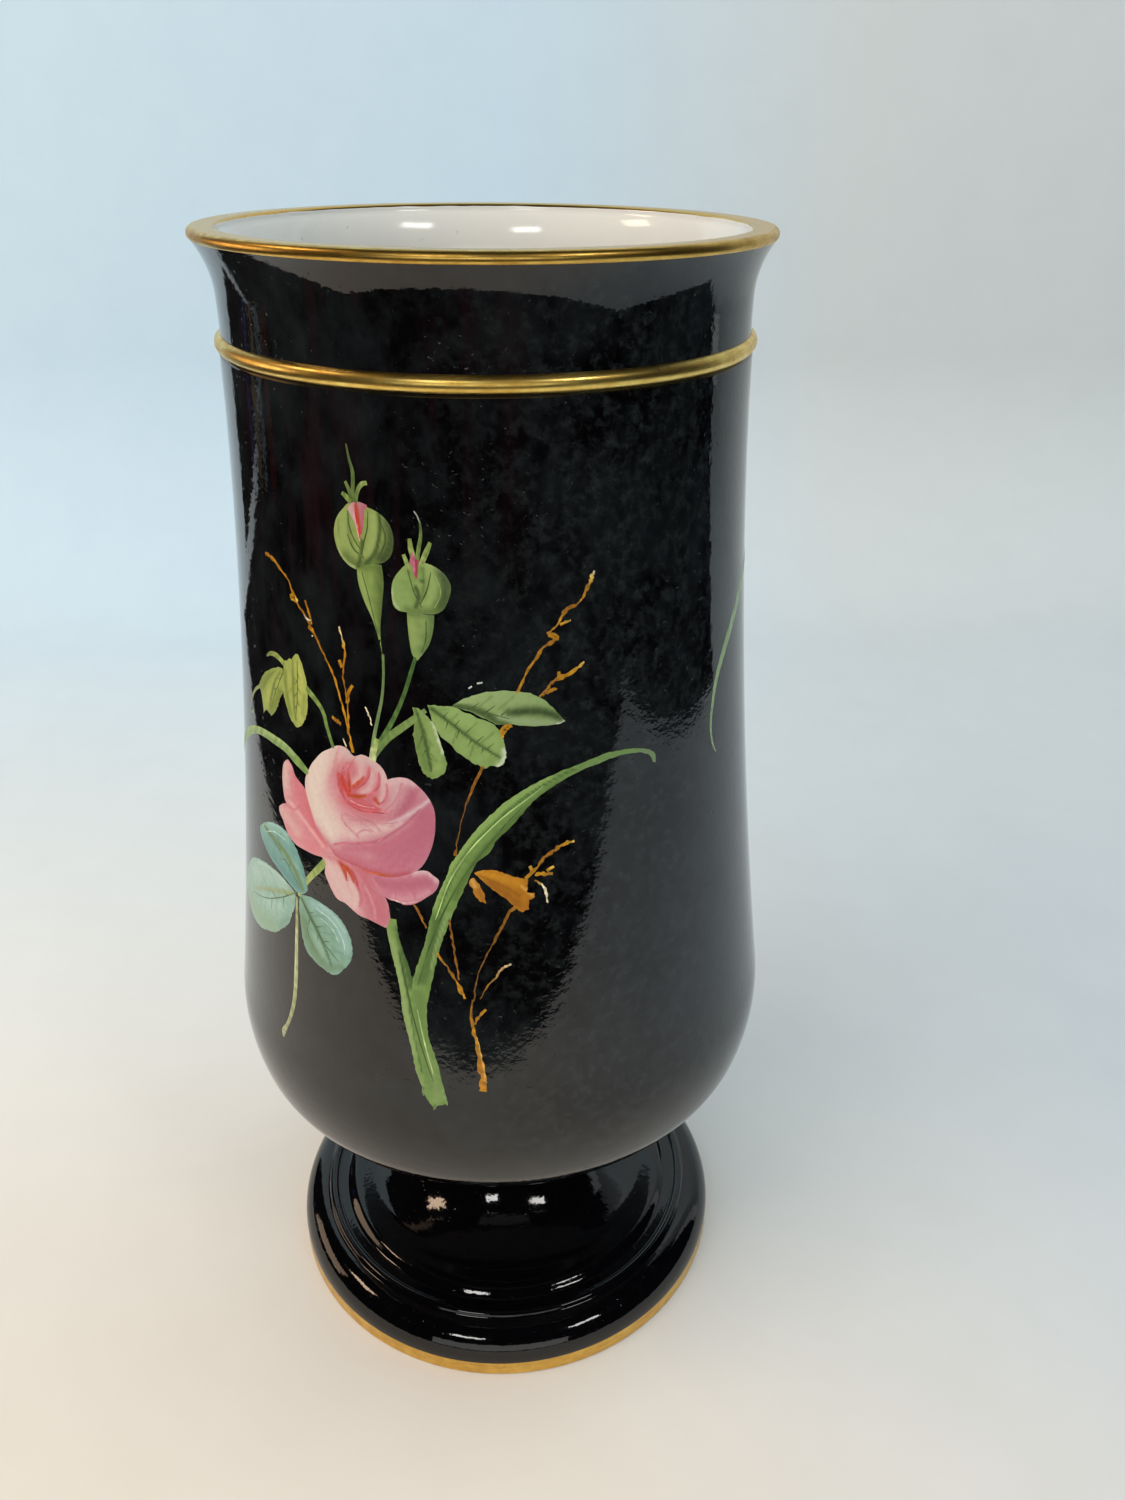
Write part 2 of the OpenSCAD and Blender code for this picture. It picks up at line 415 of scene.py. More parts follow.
def pooled_glaze(outline):
    """The coat's outline with its upper face between the two radii drawn afresh."""
    rows = np.linspace(POOL_FROM, POOL_TO, POOL_ROWS)
    after = np.roll(outline, -1, axis=0)
    top = []
    for radius in rows:
        crossing = (outline[:, 0] - radius) * (after[:, 0] - radius) <= 0
        crossing &= outline[:, 0] != after[:, 0]
        start, end = outline[crossing], after[crossing]
        share = (radius - start[:, 0]) / (end[:, 0] - start[:, 0])
        top.append((start[:, 1] + share * (end[:, 1] - start[:, 1])).max())
    top = np.array(top)
    outside = np.interp(rows, (CREASE_RADIUS - CREASE_HALF, CREASE_RADIUS + CREASE_HALF), (0, 1))
    climb = CLIMB_INSIDE * (1 - outside) + CLIMB_OUTSIDE * outside
    away = np.abs(rows - CREASE_RADIUS)
    bridge = CREASE_LEVEL + climb * (1 - np.exp(-((away / POOL_ROUNDING) ** 2)))
    share = np.exp(-((away / POOL_REACH) ** 6))
    poured = top * (1 - share) + np.maximum(bridge, top) * share
    rise = np.clip((rows - RIDGE_START) / (RIDGE_CREST - RIDGE_START), 0, 1)
    fall = np.clip((rows - RIDGE_CREST) / (RIDGE_END - RIDGE_CREST), 0, 1)
    poured += RIDGE_HEIGHT * (1 - np.cos(pi * rise)) / 2 * (1 + np.cos(pi * fall)) / 2
    for _ in range(EASING_PASSES):
        poured[1:-1] = (poured[:-2] + 2 * poured[1:-1] + poured[2:]) / 4
    poured = np.maximum(poured, top)
    nearest = [np.hypot(outline[:, 0] - r, outline[:, 1] - z).argmin() for r, z in zip(rows, top)]
    first, last = nearest[0], nearest[-1]
    fresh = np.column_stack((rows, poured))
    if first < last:
        return np.vstack((outline[:first], fresh, outline[last + 1:]))
    return np.vstack((outline[:last], fresh[::-1], outline[first + 1:]))


print("ridge", round(RIDGE_HEIGHT / MM, 1), "mm high")

# %% [markdown]
# The vase is two porcelain bodies, a bowl and a foot, bolted together under the belly. Each carries a
# black ground, and gilding lies on the lip, on the ring under the collar and round the foot's edge.
# Turning all seven from their own outlines keeps every seam between them exactly where the CAD has it.

# %% Turn the seven shells
bowl = shell("bowl_porcelain", "vase_bowl")
ground = shell("bowl_black_glaze", "bowl_black_ground")
lip = shell("lip_gold", "lip_gilding")
ring = shell("ring_gold", "ring_gilding")
foot = shell("foot_porcelain", "vase_foot")
foot_ground = shell("foot_black_glaze", "foot_black_ground", pooled_glaze)
foot_edge = shell("foot_edge_gold", "foot_edge_gilding")

# %% [markdown]
# The ground is a near-black overglaze fired on white porcelain. It is glossy but not a mirror: fired
# colour keeps a faint orange-peel of shallow lumps a couple of millimetres across, a few pinholes, and
# decades of dusting leave cloudy patches that are a little less glossy. Base colour alone can't show
# that, so the roughness and the bump carry the finish. On the bowl a grey haze of fine mottling is mixed
# in towards the right, lighter on that side, and faint red runs hang under the collar at the left.
# The foot takes the same recipe mixed again with darker colours.

# %% Black glaze
HAZE_FROM = -25 * MM
HAZE_FULL = 20 * MM
RUNS_FROM = 190 * MM
RUNS_FULL = 250 * MM
THICK_BLACK = (0.0013, 0.0010, 0.0014, 1)
RED_RUNS = (0.013, 0.004, 0.005, 1)
DUST = (0.10, 0.10, 0.10, 1)


def black_glaze(name, thin, haze):
    """Thin is the colour where the black is fired thinnest, and haze the grey mixed in towards the right."""
    glaze = Finish(name, IOR=1.52)
    clouds = glaze.noise(30 * MM, 3, 0.6)
    mottle = glaze.noise(4.5 * MM, 4, 0.65, stretch=(1, 1, 1.5))
    tone = glaze.ramp(clouds * 0.6 + mottle * 0.4, 0.44, 0.68)
    body = glaze.mix(tone, THICK_BLACK, thin)
    speckle = glaze.ramp(glaze.noise(2.6 * MM, 5, 0.7), 0.47, 0.68)
    right = glaze.rise(glaze.axis("X"), HAZE_FROM, HAZE_FULL)
    body = glaze.mix(speckle * right * 0.8, body, haze)
    runs = glaze.ramp(glaze.noise(5 * MM, 3, 0.6, stretch=(1, 1, 16)), 0.52, 0.72)
    upper = glaze.rise(glaze.axis("Z"), RUNS_FROM, RUNS_FULL)
    body = glaze.mix(runs * upper * (1 - right) * 0.8, body, RED_RUNS)
    dust = glaze.ramp(glaze.noise(0.9 * MM, 2, 0.6), 0.74, 0.80)
    glaze.set("Base Color", glaze.mix(dust * 0.35, body, DUST))
    rubbed = glaze.ramp(glaze.noise(7 * MM, 6, 0.7, distortion=0.6), 0.48, 0.75)
    glaze.set("Roughness", rubbed * 0.06 + tone * 0.03 + 0.035)
    peel = glaze.noise(1.9 * MM, 2, 0.55)
    waves = glaze.noise(9 * MM, 2, 0.5)
    pits = glaze.ramp(glaze.noise(1.1 * MM, 1, 0.5, distortion=0.4), 0.72, 0.80)
    glaze.set("Normal", glaze.bump(peel + waves * 0.9 - pits * 0.8, 0.034 * MM))
    return glaze


black = black_glaze("black_glaze", (0.0100, 0.0125, 0.0135, 1), (0.0200, 0.0240, 0.0240, 1))
foot_black = black_glaze("foot_black_glaze", (0.0013, 0.0015, 0.0020, 1), (0.0024, 0.0026, 0.0034, 1))
print("mixed", black.material.name, "and", foot_black.material.name)

# %% [markdown]
# White porcelain glaze is clear glass over a warm white body. It pools and ripples slightly, so its
# reflections waver. The resting ring was wiped clean of glaze before firing so that the vase would not
# stick to the kiln shelf, and that bare ring has gone grey and matt with use. At the very top of the lip
# the gold was brushed on over the white, with a wavering edge, and a mask by height puts it there.

# %% White glaze
UNGLAZED_BELOW = 0.5 * MM
GILDED_ABOVE = 294.6 * MM


def white_glaze(name):
    glaze = Finish(name, IOR=1.52, Subsurface_Weight=0.04, Subsurface_Scale=2 * MM)
    glaze.shader.inputs["Subsurface Radius"].default_value = (1.0, 0.8, 0.6)
    clouds = glaze.noise(22 * MM, 3, 0.5)
    specks = glaze.ramp(glaze.noise(1.6 * MM, 2, 0.6), 0.70, 0.78)
    body = glaze.mix(clouds, colour(208, 205, 197), colour(220, 218, 210))
    body = glaze.mix(specks * 0.35, body, colour(150, 138, 118))
    height = glaze.axis("Z")
    bare = 1 - height.above(UNGLAZED_BELOW)
    gilded = (height + glaze.noise(6 * MM, 2, 0.5) * (0.4 * MM)).above(GILDED_ABOVE)
    grime = glaze.ramp(glaze.noise(2.5 * MM, 4, 0.7), 0.4, 0.7)
    biscuit = glaze.mix(grime, colour(205, 196, 180), colour(132, 120, 104))
    fired = glaze.mix(bare, body, biscuit)
    glaze.set("Base Color", glaze.mix(gilded, fired, colour(226, 182, 92)))
    glaze.set("Metallic", gilded)
    glaze.set("Roughness", clouds * 0.06 + bare * 0.6 + gilded * 0.18 + 0.07)
    ripple = glaze.noise(14 * MM, 2, 0.5)
    grit = glaze.noise(0.35 * MM, 2, 0.6) * bare
    glaze.set("Normal", glaze.bump(ripple + grit * 0.1, 0.12 * MM))
    return glaze


white = white_glaze("white_glaze")
print("mixed", white.material.name)

# %% [markdown]
# Liquid gold is brushed on round the wheel, fired, and burnished. So the brush and the burnisher leave
# fine lines that run round the vase, and fingers wear the gold thin on its most exposed parts, where the
# colour beneath shows through as brown freckles. Noise stretched along X and Y and kept short along Z
# gives lines that run round a turned shape, with no seam where they meet. The ring keeps a brighter,
# yellower gold than the lip and the foot's edge, which are satin.

# %% Gilding
def gilding(name, bright, deep, worn, rough):
    gold = Finish(name, Metallic=1.0)
    lines = gold.noise(0.5 * MM, 4, 0.6, stretch=(14, 14, 1))
    blots = gold.noise(3.2 * MM, 5, 0.65)
    tone = gold.ramp(lines * 0.5 + blots * 0.5, 0.36, 0.64)
    freckles = gold.ramp(gold.noise(1.1 * MM, 5, 0.7, distortion=0.5), worn, worn + 0.06)
    metal = gold.mix(tone, colour(*deep), colour(*bright))
    gold.set("Base Color", gold.mix(freckles, metal, colour(70, 40, 18)))
    gold.set("Metallic", 1 - freckles * 0.75)
    gold.set("Roughness", (1 - tone) * 0.16 + freckles * 0.25 + rough)
    gold.set("Normal", gold.bump(lines * 0.3 + blots * 0.6 - freckles * 0.4, 0.02 * MM))
    return gold


burnished = gilding("burnished_gold", (255, 226, 130), (228, 184, 88), 0.74, 0.27)
satin = gilding("satin_gold", (240, 200, 104), (204, 158, 70), 0.68, 0.26)
print("mixed", burnished.material.name, "and", satin.material.name)

# %% [markdown]
# Five finishes serve the seven shells. Each shell takes one finish all over, so its mesh gets a single
# material slot, and where a finish changes within a shell, the finish's own masks do it.

# %% Put the finishes on the shells
def dress(piece, finish):
    piece.data.materials.clear()
    piece.data.materials.append(finish.material)


dress(bowl, white)
dress(foot, white)
dress(ground, black)
dress(foot_ground, foot_black)
dress(ring, burnished)
dress(lip, satin)
dress(foot_edge, satin)
print("shells dressed")

# %% [markdown]
# Inside the foot, where nobody looks, a bolt holds the two porcelain bodies together, with soft washers
# so that the metal never bears on the glaze. These CAD nodes have the right shape already. They keep
# their meshes and only get a finish: turned brass that has gone dull, black rubber, and brown leather.

# %% Hardware finishes
LEATHER_PORES = 900.0


def dull_brass():
    brass = Finish("dull_brass", Metallic=1.0)
    clouds = brass.noise(3 * MM, 4, 0.6)
    tarnish = brass.ramp(clouds, 0.42, 0.66)
    metal = brass.mix(tarnish, colour(206, 168, 92), colour(120, 92, 52))
    brass.set("Base Color", metal)
    brass.set("Roughness", tarnish * 0.25 + 0.26)
    rings = brass.noise(0.5 * MM, 3, 0.5, stretch=(6, 6, 1))
    brass.set("Normal", brass.bump(rings, 0.02 * MM))
    return brass


def soft_rubber():
    rubber = Finish("soft_rubber")
    bloom = rubber.ramp(rubber.noise(4 * MM, 4, 0.6), 0.4, 0.7)
    rubber.set("Base Color", rubber.mix(bloom, colour(30, 30, 31), colour(62, 60, 58)))
    rubber.set("Roughness", bloom * 0.2 + 0.6)
    rubber.set("Normal", rubber.bump(rubber.noise(0.4 * MM, 2, 0.5), 0.03 * MM))
    return rubber


def brown_leather():
    leather = Finish("brown_leather")
    patches = leather.noise(6 * MM, 3, 0.6)
    leather.set("Base Color", leather.mix(patches, colour(112, 70, 42), colour(150, 104, 66)))
    sockets = {"Vector": leather.place, "Scale": LEATHER_PORES}
    pores = leather.node("ShaderNodeTexVoronoi", None, sockets)
    leather.set("Roughness", patches * 0.15 + 0.55)
    leather.set("Normal", leather.bump(pores, 0.08 * MM))
    return leather


HARDWARE = {
    "joint_bolt": "brass",
    "joint_nut": "brass",
    "bowl_brass_washer": "brass",
    "foot_brass_washer": "brass",
    "bowl_seal_washer": "rubber",
    "foot_cushion_washer": "leather",
    "neck_cushion": "leather",
}
hardware_finish = {"brass": dull_brass(), "rubber": soft_rubber(), "leather": brown_leather()}
for node, finish in HARDWARE.items():
    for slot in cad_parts[node].material_slots:
        slot.material = hardware_finish[finish].material
print("hardware dressed:", len(HARDWARE), "nodes")

# %% [markdown]
# The spray of roses is laid on in enamel, coloured glass ground fine and mixed with oil, which stands a
# tenth of a millimetre proud at most after firing. It is drawn here as on a flat sheet of paper: the
# first number goes round the vase from the middle of the front, the second is the height above the
# table, both in millimetres. The sheet is then wrapped on the wall. An image texture could carry the
# picture too, but strokes that are real relief catch the light at their margins as enamel does.

# %% From the flat sheet to the wall
SHEET_RADIUS = 65 * MM
RING_ON_SHEET = 272.5 * MM
ring_low, ring_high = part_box("ring_gilding")
SHEET_RISE = (ring_low[2] + ring_high[2]) / 2 - RING_ON_SHEET
WALL_LOW = 70 * MM
WALL_HIGH = 268 * MM
WALL_ROWS = 397
ENAMEL_CORNER = radians(60)


def reach(outlines, height):
    """The largest radius at which closed outlines cross a height."""
    widest = 0.0
    for outline in outlines:
        low = outline[:, 1]
        after = np.roll(outline, -1, axis=0)
        crossing = (low - height) * (after[:, 1] - height) < 0
        start, end = outline[crossing], after[crossing]
        share = (height - start[:, 1]) / (end[:, 1] - start[:, 1])
        radius = start[:, 0] + share * (end[:, 0] - start[:, 0])
        widest = max(widest, radius.max(initial=0))
    return widest


ground_outlines = [smoothed(loop) for loop in section("bowl_black_ground")]
WALL_HEIGHTS = np.linspace(WALL_LOW, WALL_HIGH, WALL_ROWS)
WALL_RADII = np.array([reach(ground_outlines, height) for height in WALL_HEIGHTS])


def wrap(piece):
    """Bends a flat painted piece on to the wall: X goes round, Y goes up, and Z stands off the glaze."""
    flat = coordinates(piece.data)
    angle = flat[:, 0] / SHEET_RADIUS
    height = flat[:, 1] + SHEET_RISE
    radius = np.interp(height, WALL_HEIGHTS, WALL_RADII) + flat[:, 2]
    bent = np.column_stack((radius * np.sin(angle), -radius * np.cos(angle), height))
    piece.data.vertices.foreach_set("co", bent.ravel())
    piece.data.update()
    face_outwards(piece)
    bpy.ops.object.shade_smooth_by_angle(angle=ENAMEL_CORNER)


print("the wall's radius runs from", WALL_RADII.min().round(4), "to", WALL_RADII.max().round(4), "m")

# %% [markdown]
# Colour goes on as a china painter lays it: a base tint, then washes and lines, each with its own tint,
# width and strength along a path. Every vertex takes its share of each stroke by its distance from the
# path. A sum of a few slanted waves stands in for the tremble of a hand and the thick and thin of paint.

# %% Brush and paint helpers
LINE_STEP = 1.2 * MM
TREMBLE_WAVES = 7
HAIRLINE = 4
WASH_DRIFT = 0.11
WASH_SIZE = 1.7 * MM


def dots(text, columns=2):
    """Rows of numbers, in millimetres, written as plain text."""
    return np.array(text.split(), dtype=float).reshape(-1, columns) * MM


def tremble(spots, size, seed):
    """Smooth seeded noise of about -1 to 1 over the sheet, in lumps of about size."""
    dice = np.random.default_rng(seed)
    total = np.zeros(len(spots))
    for _ in range(TREMBLE_WAVES):
        heading = dice.uniform(0, 2 * pi)
        pitch = dice.uniform(0.6, 1.7) * 2 * pi / size
        slant = spots[:, 0] * cos(heading) + spots[:, 1] * sin(heading)
        total += np.sin(slant * pitch + dice.uniform(0, 2 * pi))
    return total / TREMBLE_WAVES**0.5


def near(spots, line):
    """How far every spot is from a line, and how far along the line its nearest point is, 0 to 1."""
    start, step = line[:-1], np.diff(line, axis=0)
    offset = spots[:, None, :] - start[None, :, :]
    share = np.clip((offset * step).sum(axis=2) / (step**2).sum(axis=1), 0, 1)
    gap = np.linalg.norm(offset - share[:, :, None] * step, axis=2)
    best = gap.argmin(axis=1)
    rows = np.arange(len(spots))
    return gap[rows, best], (best + share[rows, best]) / len(step)


def path(text):
    """A smooth open line through the points of a text."""
    return smoothed(dots(text), closed=False, longest=LINE_STEP, sharp=pi)


def wash(tint, strength, width, text, crisp=2):
    """A stroke of thin colour. A high crisp number gives it hard edges."""
    widths = np.atleast_1d(width) * MM
    return np.array(tint, dtype=float), strength, widths, path(text), crisp


def fine(tint, width, text, strength=0.85):
    """A thin line with hard edges."""
    return wash(tint, strength, width, text, crisp=HAIRLINE)


def fines(tint, width, text, strength=0.85):
    """A thin line for each line of the text."""
    return [fine(tint, width, line, strength) for line in text.splitlines()]


def colour_in(spots, shades, washes, seed):
    """Lays the washes over the shades, one after another. Shades run from 0 to 255."""
    for order, (tint, strength, widths, line, crisp) in enumerate(washes):
        gap, along = near(spots, line)
        half = np.interp(along, np.linspace(0, 1, len(widths)), widths) / 2
        cover = strength * np.exp(-((gap / half) ** crisp))
        cover = cover * (1 + WASH_DRIFT * tremble(spots, WASH_SIZE, seed + order))
        cover = np.clip(cover, 0, 1)[:, None]
        shades = shades * (1 - cover) + tint * cover
    return shades


def fix_colours(piece, shades):
    """Stores the shades on the vertices, as the linear values that a shader wants."""
    values = np.column_stack((linear(shades), np.ones(len(shades))))
    layer = piece.data.attributes.new("paint", "FLOAT_COLOR", "POINT")
    layer.data.foreach_set("color", values.ravel())


print("brushes ready")

# %% [markdown]
# A petal or a leaf is a flat sheet inside a smooth outline, cut into a fine grid by the bisect operator
# so that the vertices can carry the paint. Extruding it down closes it, and its top is rounded off
# towards the margin, where the enamel runs out thin.

# %% Petals and leaves
DEPTH_BELOW = 0.06 * MM
MARGIN = 0.22 * MM
SUNK = 0.004 * MM
TIP = radians(62)
OUTLINE_STEP = 0.9 * MM
RAGGED_SIZE = 1.4 * MM
TINT_DRIFT = 5.0
DRIFT_SIZE = 3.0 * MM


def cut_out(name, outline, grain):
    """A flat n-gon inside the outline, cut into squares of about grain."""
    mesh = bpy.data.meshes.new(name)
    corners = [(across, up, 0) for across, up in outline]
    mesh.from_pydata(corners, [], [range(len(corners))])
    piece = new_piece(name, mesh)
    pick(piece)
    bpy.ops.object.mode_set(mode="EDIT")
    for axis in (0, 1):
        low, high = outline[:, axis].min(), outline[:, axis].max()
        spot, normal = [0, 0, 0], [0, 0, 0]
        normal[axis] = 1
        for cut in np.arange(low + grain / 2, high, grain):
            spot[axis] = cut
            bpy.ops.mesh.select_all(action="SELECT")
            bpy.ops.mesh.bisect(plane_co=spot, plane_no=normal)
    bpy.ops.mesh.select_all(action="SELECT")
    down = {"value": (0, 0, -DEPTH_BELOW)}
    bpy.ops.mesh.extrude_region_move(TRANSFORM_OT_translate=down)
    bpy.ops.object.mode_set(mode="OBJECT")
    return piece


def sheet_of_paint(name, text, lift, base, washes, grain=0.4, ragged=0.0):
    """One petal or leaf, cut out, rounded off and painted, still flat."""
    outline = smoothed(dots(text), longest=OUTLINE_STEP, sharp=TIP)
    seed = sum(map(ord, name))
    if ragged:
        outline[:, 0] += ragged * MM * tremble(outline, RAGGED_SIZE, seed)
        outline[:, 1] += ragged * MM * tremble(outline, RAGGED_SIZE, seed + 1)
    piece = cut_out(name, outline, grain * MM)
    flat = coordinates(piece.data)
    spots = flat[:, :2]
    rim = np.vstack((outline, outline[:1]))
    inside, _ = near(spots, rim)
    top = flat[:, 2] > -DEPTH_BELOW / 2
    rounded = lift * MM * (1 - np.exp(-inside / MARGIN)) - SUNK
    flat[:, 2] = np.where(top, rounded, -DEPTH_BELOW)
    piece.data.vertices.foreach_set("co", flat.ravel())
    shades = np.tile(np.array(base, dtype=float), (len(spots), 1))
    shades = shades + TINT_DRIFT * tremble(spots, DRIFT_SIZE, seed + 2)[:, None]
    shades = colour_in(spots, shades, washes, seed + 3)
    fix_colours(piece, shades)
    return piece


print("a sheet of enamel closes", round(DEPTH_BELOW / MM, 3), "mm inside the glaze")

# %% [markdown]
# Stems, twigs, veins and blades are single strokes of a pointed brush. Each is a curve whose radius
# follows the pressure of the brush. Converted to a mesh, it is pressed nearly flat. The same strokes
# draw every line that must stay crisp on a petal or a leaf, because a wash is only as sharp as the
# sheet's grid: they are laid a little higher than the sheet below them.

# %% Strokes of the pointed brush
DRY_STEP = 1.1 * MM
DRY_SHAKE = 0.07 * MM
DRY_SEED = 40
STROKE_DRIFT = 0.12
STROKE_SIZE = 2.2 * MM


def stroke(tints, text):
    """Tints along the stroke, and rows of across, up and width."""
    rows = dots(text, 3)
    return [np.array(tint, dtype=float) for tint in tints], rows


def hairs(tints, text):
    """One stroke for each line of the text, all in the same tints."""
    return [stroke(tints, line) for line in text.strip().splitlines()]


def dragged(rows, seed):
    """The same stroke as a dry brush leaves it: thick and thin by turns, every millimetre or so."""
    dice = np.random.default_rng(seed)
    rough = smoothed(rows, closed=False, longest=DRY_STEP, sharp=pi)
    rough[1:-1, 2] *= dice.uniform(0.35, 1.15, len(rough) - 2)
    rough[1:-1, :2] += dice.normal(0, DRY_SHAKE, (len(rough) - 2, 2))
    return rough


def strokes(name, marks, lift, dry=False):
    """All the strokes of one kind, as one flat piece. Dry ones are broken and ragged."""
    if dry:
        marks = [(tints, dragged(rows, DRY_SEED + k)) for k, (tints, rows) in enumerate(marks)]
    curve = bpy.data.curves.new(name, "CURVE")
    curve.dimensions = "3D"
    curve.twist_mode = "Z_UP"
    curve.bevel_depth = 1.0
    curve.bevel_resolution = 1
    curve.resolution_u = 6
    curve.use_fill_caps = True
    for tints, rows in marks:
        line = curve.splines.new("BEZIER")
        line.bezier_points.add(len(rows) - 1)
        for point, (across, up, width) in zip(line.bezier_points, rows):
            point.co = (across, up, 0)
            point.radius = width / 2
            point.handle_left_type = "AUTO"
            point.handle_right_type = "AUTO"
    drawn = new_piece(name + "_curve", curve)
    pick(drawn)
    bpy.ops.object.convert(target="MESH")
    piece = bpy.context.object
    piece.name = name
    flat = coordinates(piece.data)
    spots = flat[:, :2]
    closest = np.full(len(spots), np.inf)
    shades = np.zeros((len(spots), 3))
    for tints, rows in marks:
        line = smoothed(rows[:, :2], closed=False, longest=LINE_STEP, sharp=pi)
        gap, along = near(spots, line)
        stops = np.linspace(0, 1, len(tints))
        own = np.column_stack([np.interp(along, stops, [t[k] for t in tints]) for k in range(3)])
        better = gap < closest
        shades[better] = own[better]
        closest = np.minimum(gap, closest)
    seed = sum(map(ord, name))
    shades = shades * (1 + STROKE_DRIFT * tremble(spots, STROKE_SIZE, seed))[:, None]
    flat[:, 2] = lift * MM * np.tanh(flat[:, 2] / (lift * MM))
    piece.data.vertices.foreach_set("co", flat.ravel())
    fix_colours(piece, shades)
    return piece


print("a dry brush breaks its stroke every", round(DRY_STEP / MM, 1), "mm")

# %% [markdown]
# Fired enamel is coloured glass. It is glossy, but a little less than the ground, and brush marks leave
# fine ridges in it. Its colour comes from the vertices, through the paint attribute.

# %% Enamel finish
def painted_enamel():
    enamel = Finish("painted_enamel", IOR=1.5)
    settings = {"attribute_type": "GEOMETRY", "attribute_name": "paint"}
    shade = enamel.node("ShaderNodeAttribute", settings, out="Color")
    grainy = enamel.noise(0.7 * MM, 4, 0.65)
    thin = enamel.ramp(grainy, 0.46, 0.74)
    enamel.set("Base Color", enamel.mix(thin * 0.10, shade, (0.01, 0.01, 0.01, 1)))
    enamel.set("Roughness", grainy * 0.16 + 0.24)
    ridges = enamel.noise(0.45 * MM, 3, 0.6, stretch=(1, 1, 2.5))
    enamel.set("Normal", enamel.bump(ridges, 0.005 * MM))
    return enamel


enamel = painted_enamel()
flat_meshes = {}


def lay_on(name, parts):
    """Joins flat parts into one piece, keeps a flat copy, and wraps the piece on the wall."""
    clear_selection()
    for part in parts:
        part.select_set(True)
    bpy.context.view_layer.objects.active = parts[0]
    if len(parts) > 1:
        bpy.ops.object.join()
    piece = parts[0]
    piece.name = name
    piece.data.name = name
    dress(piece, enamel)
    flat_meshes[name] = piece.data.copy()
    wrap(piece)
    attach(piece, "root")
    print(name, len(piece.data.polygons), "faces")
    return piece


print("enamel is", enamel.material.name)

# %% [markdown]
# The open rose. A cabbage rose is painted as one round mass in warm cream, shaded with rose pink down
# its right side. The heart is a nest of short deep strokes, touched with vermilion, and long thin mauve
# lines curl round it to say where the inner petals lie over each other.

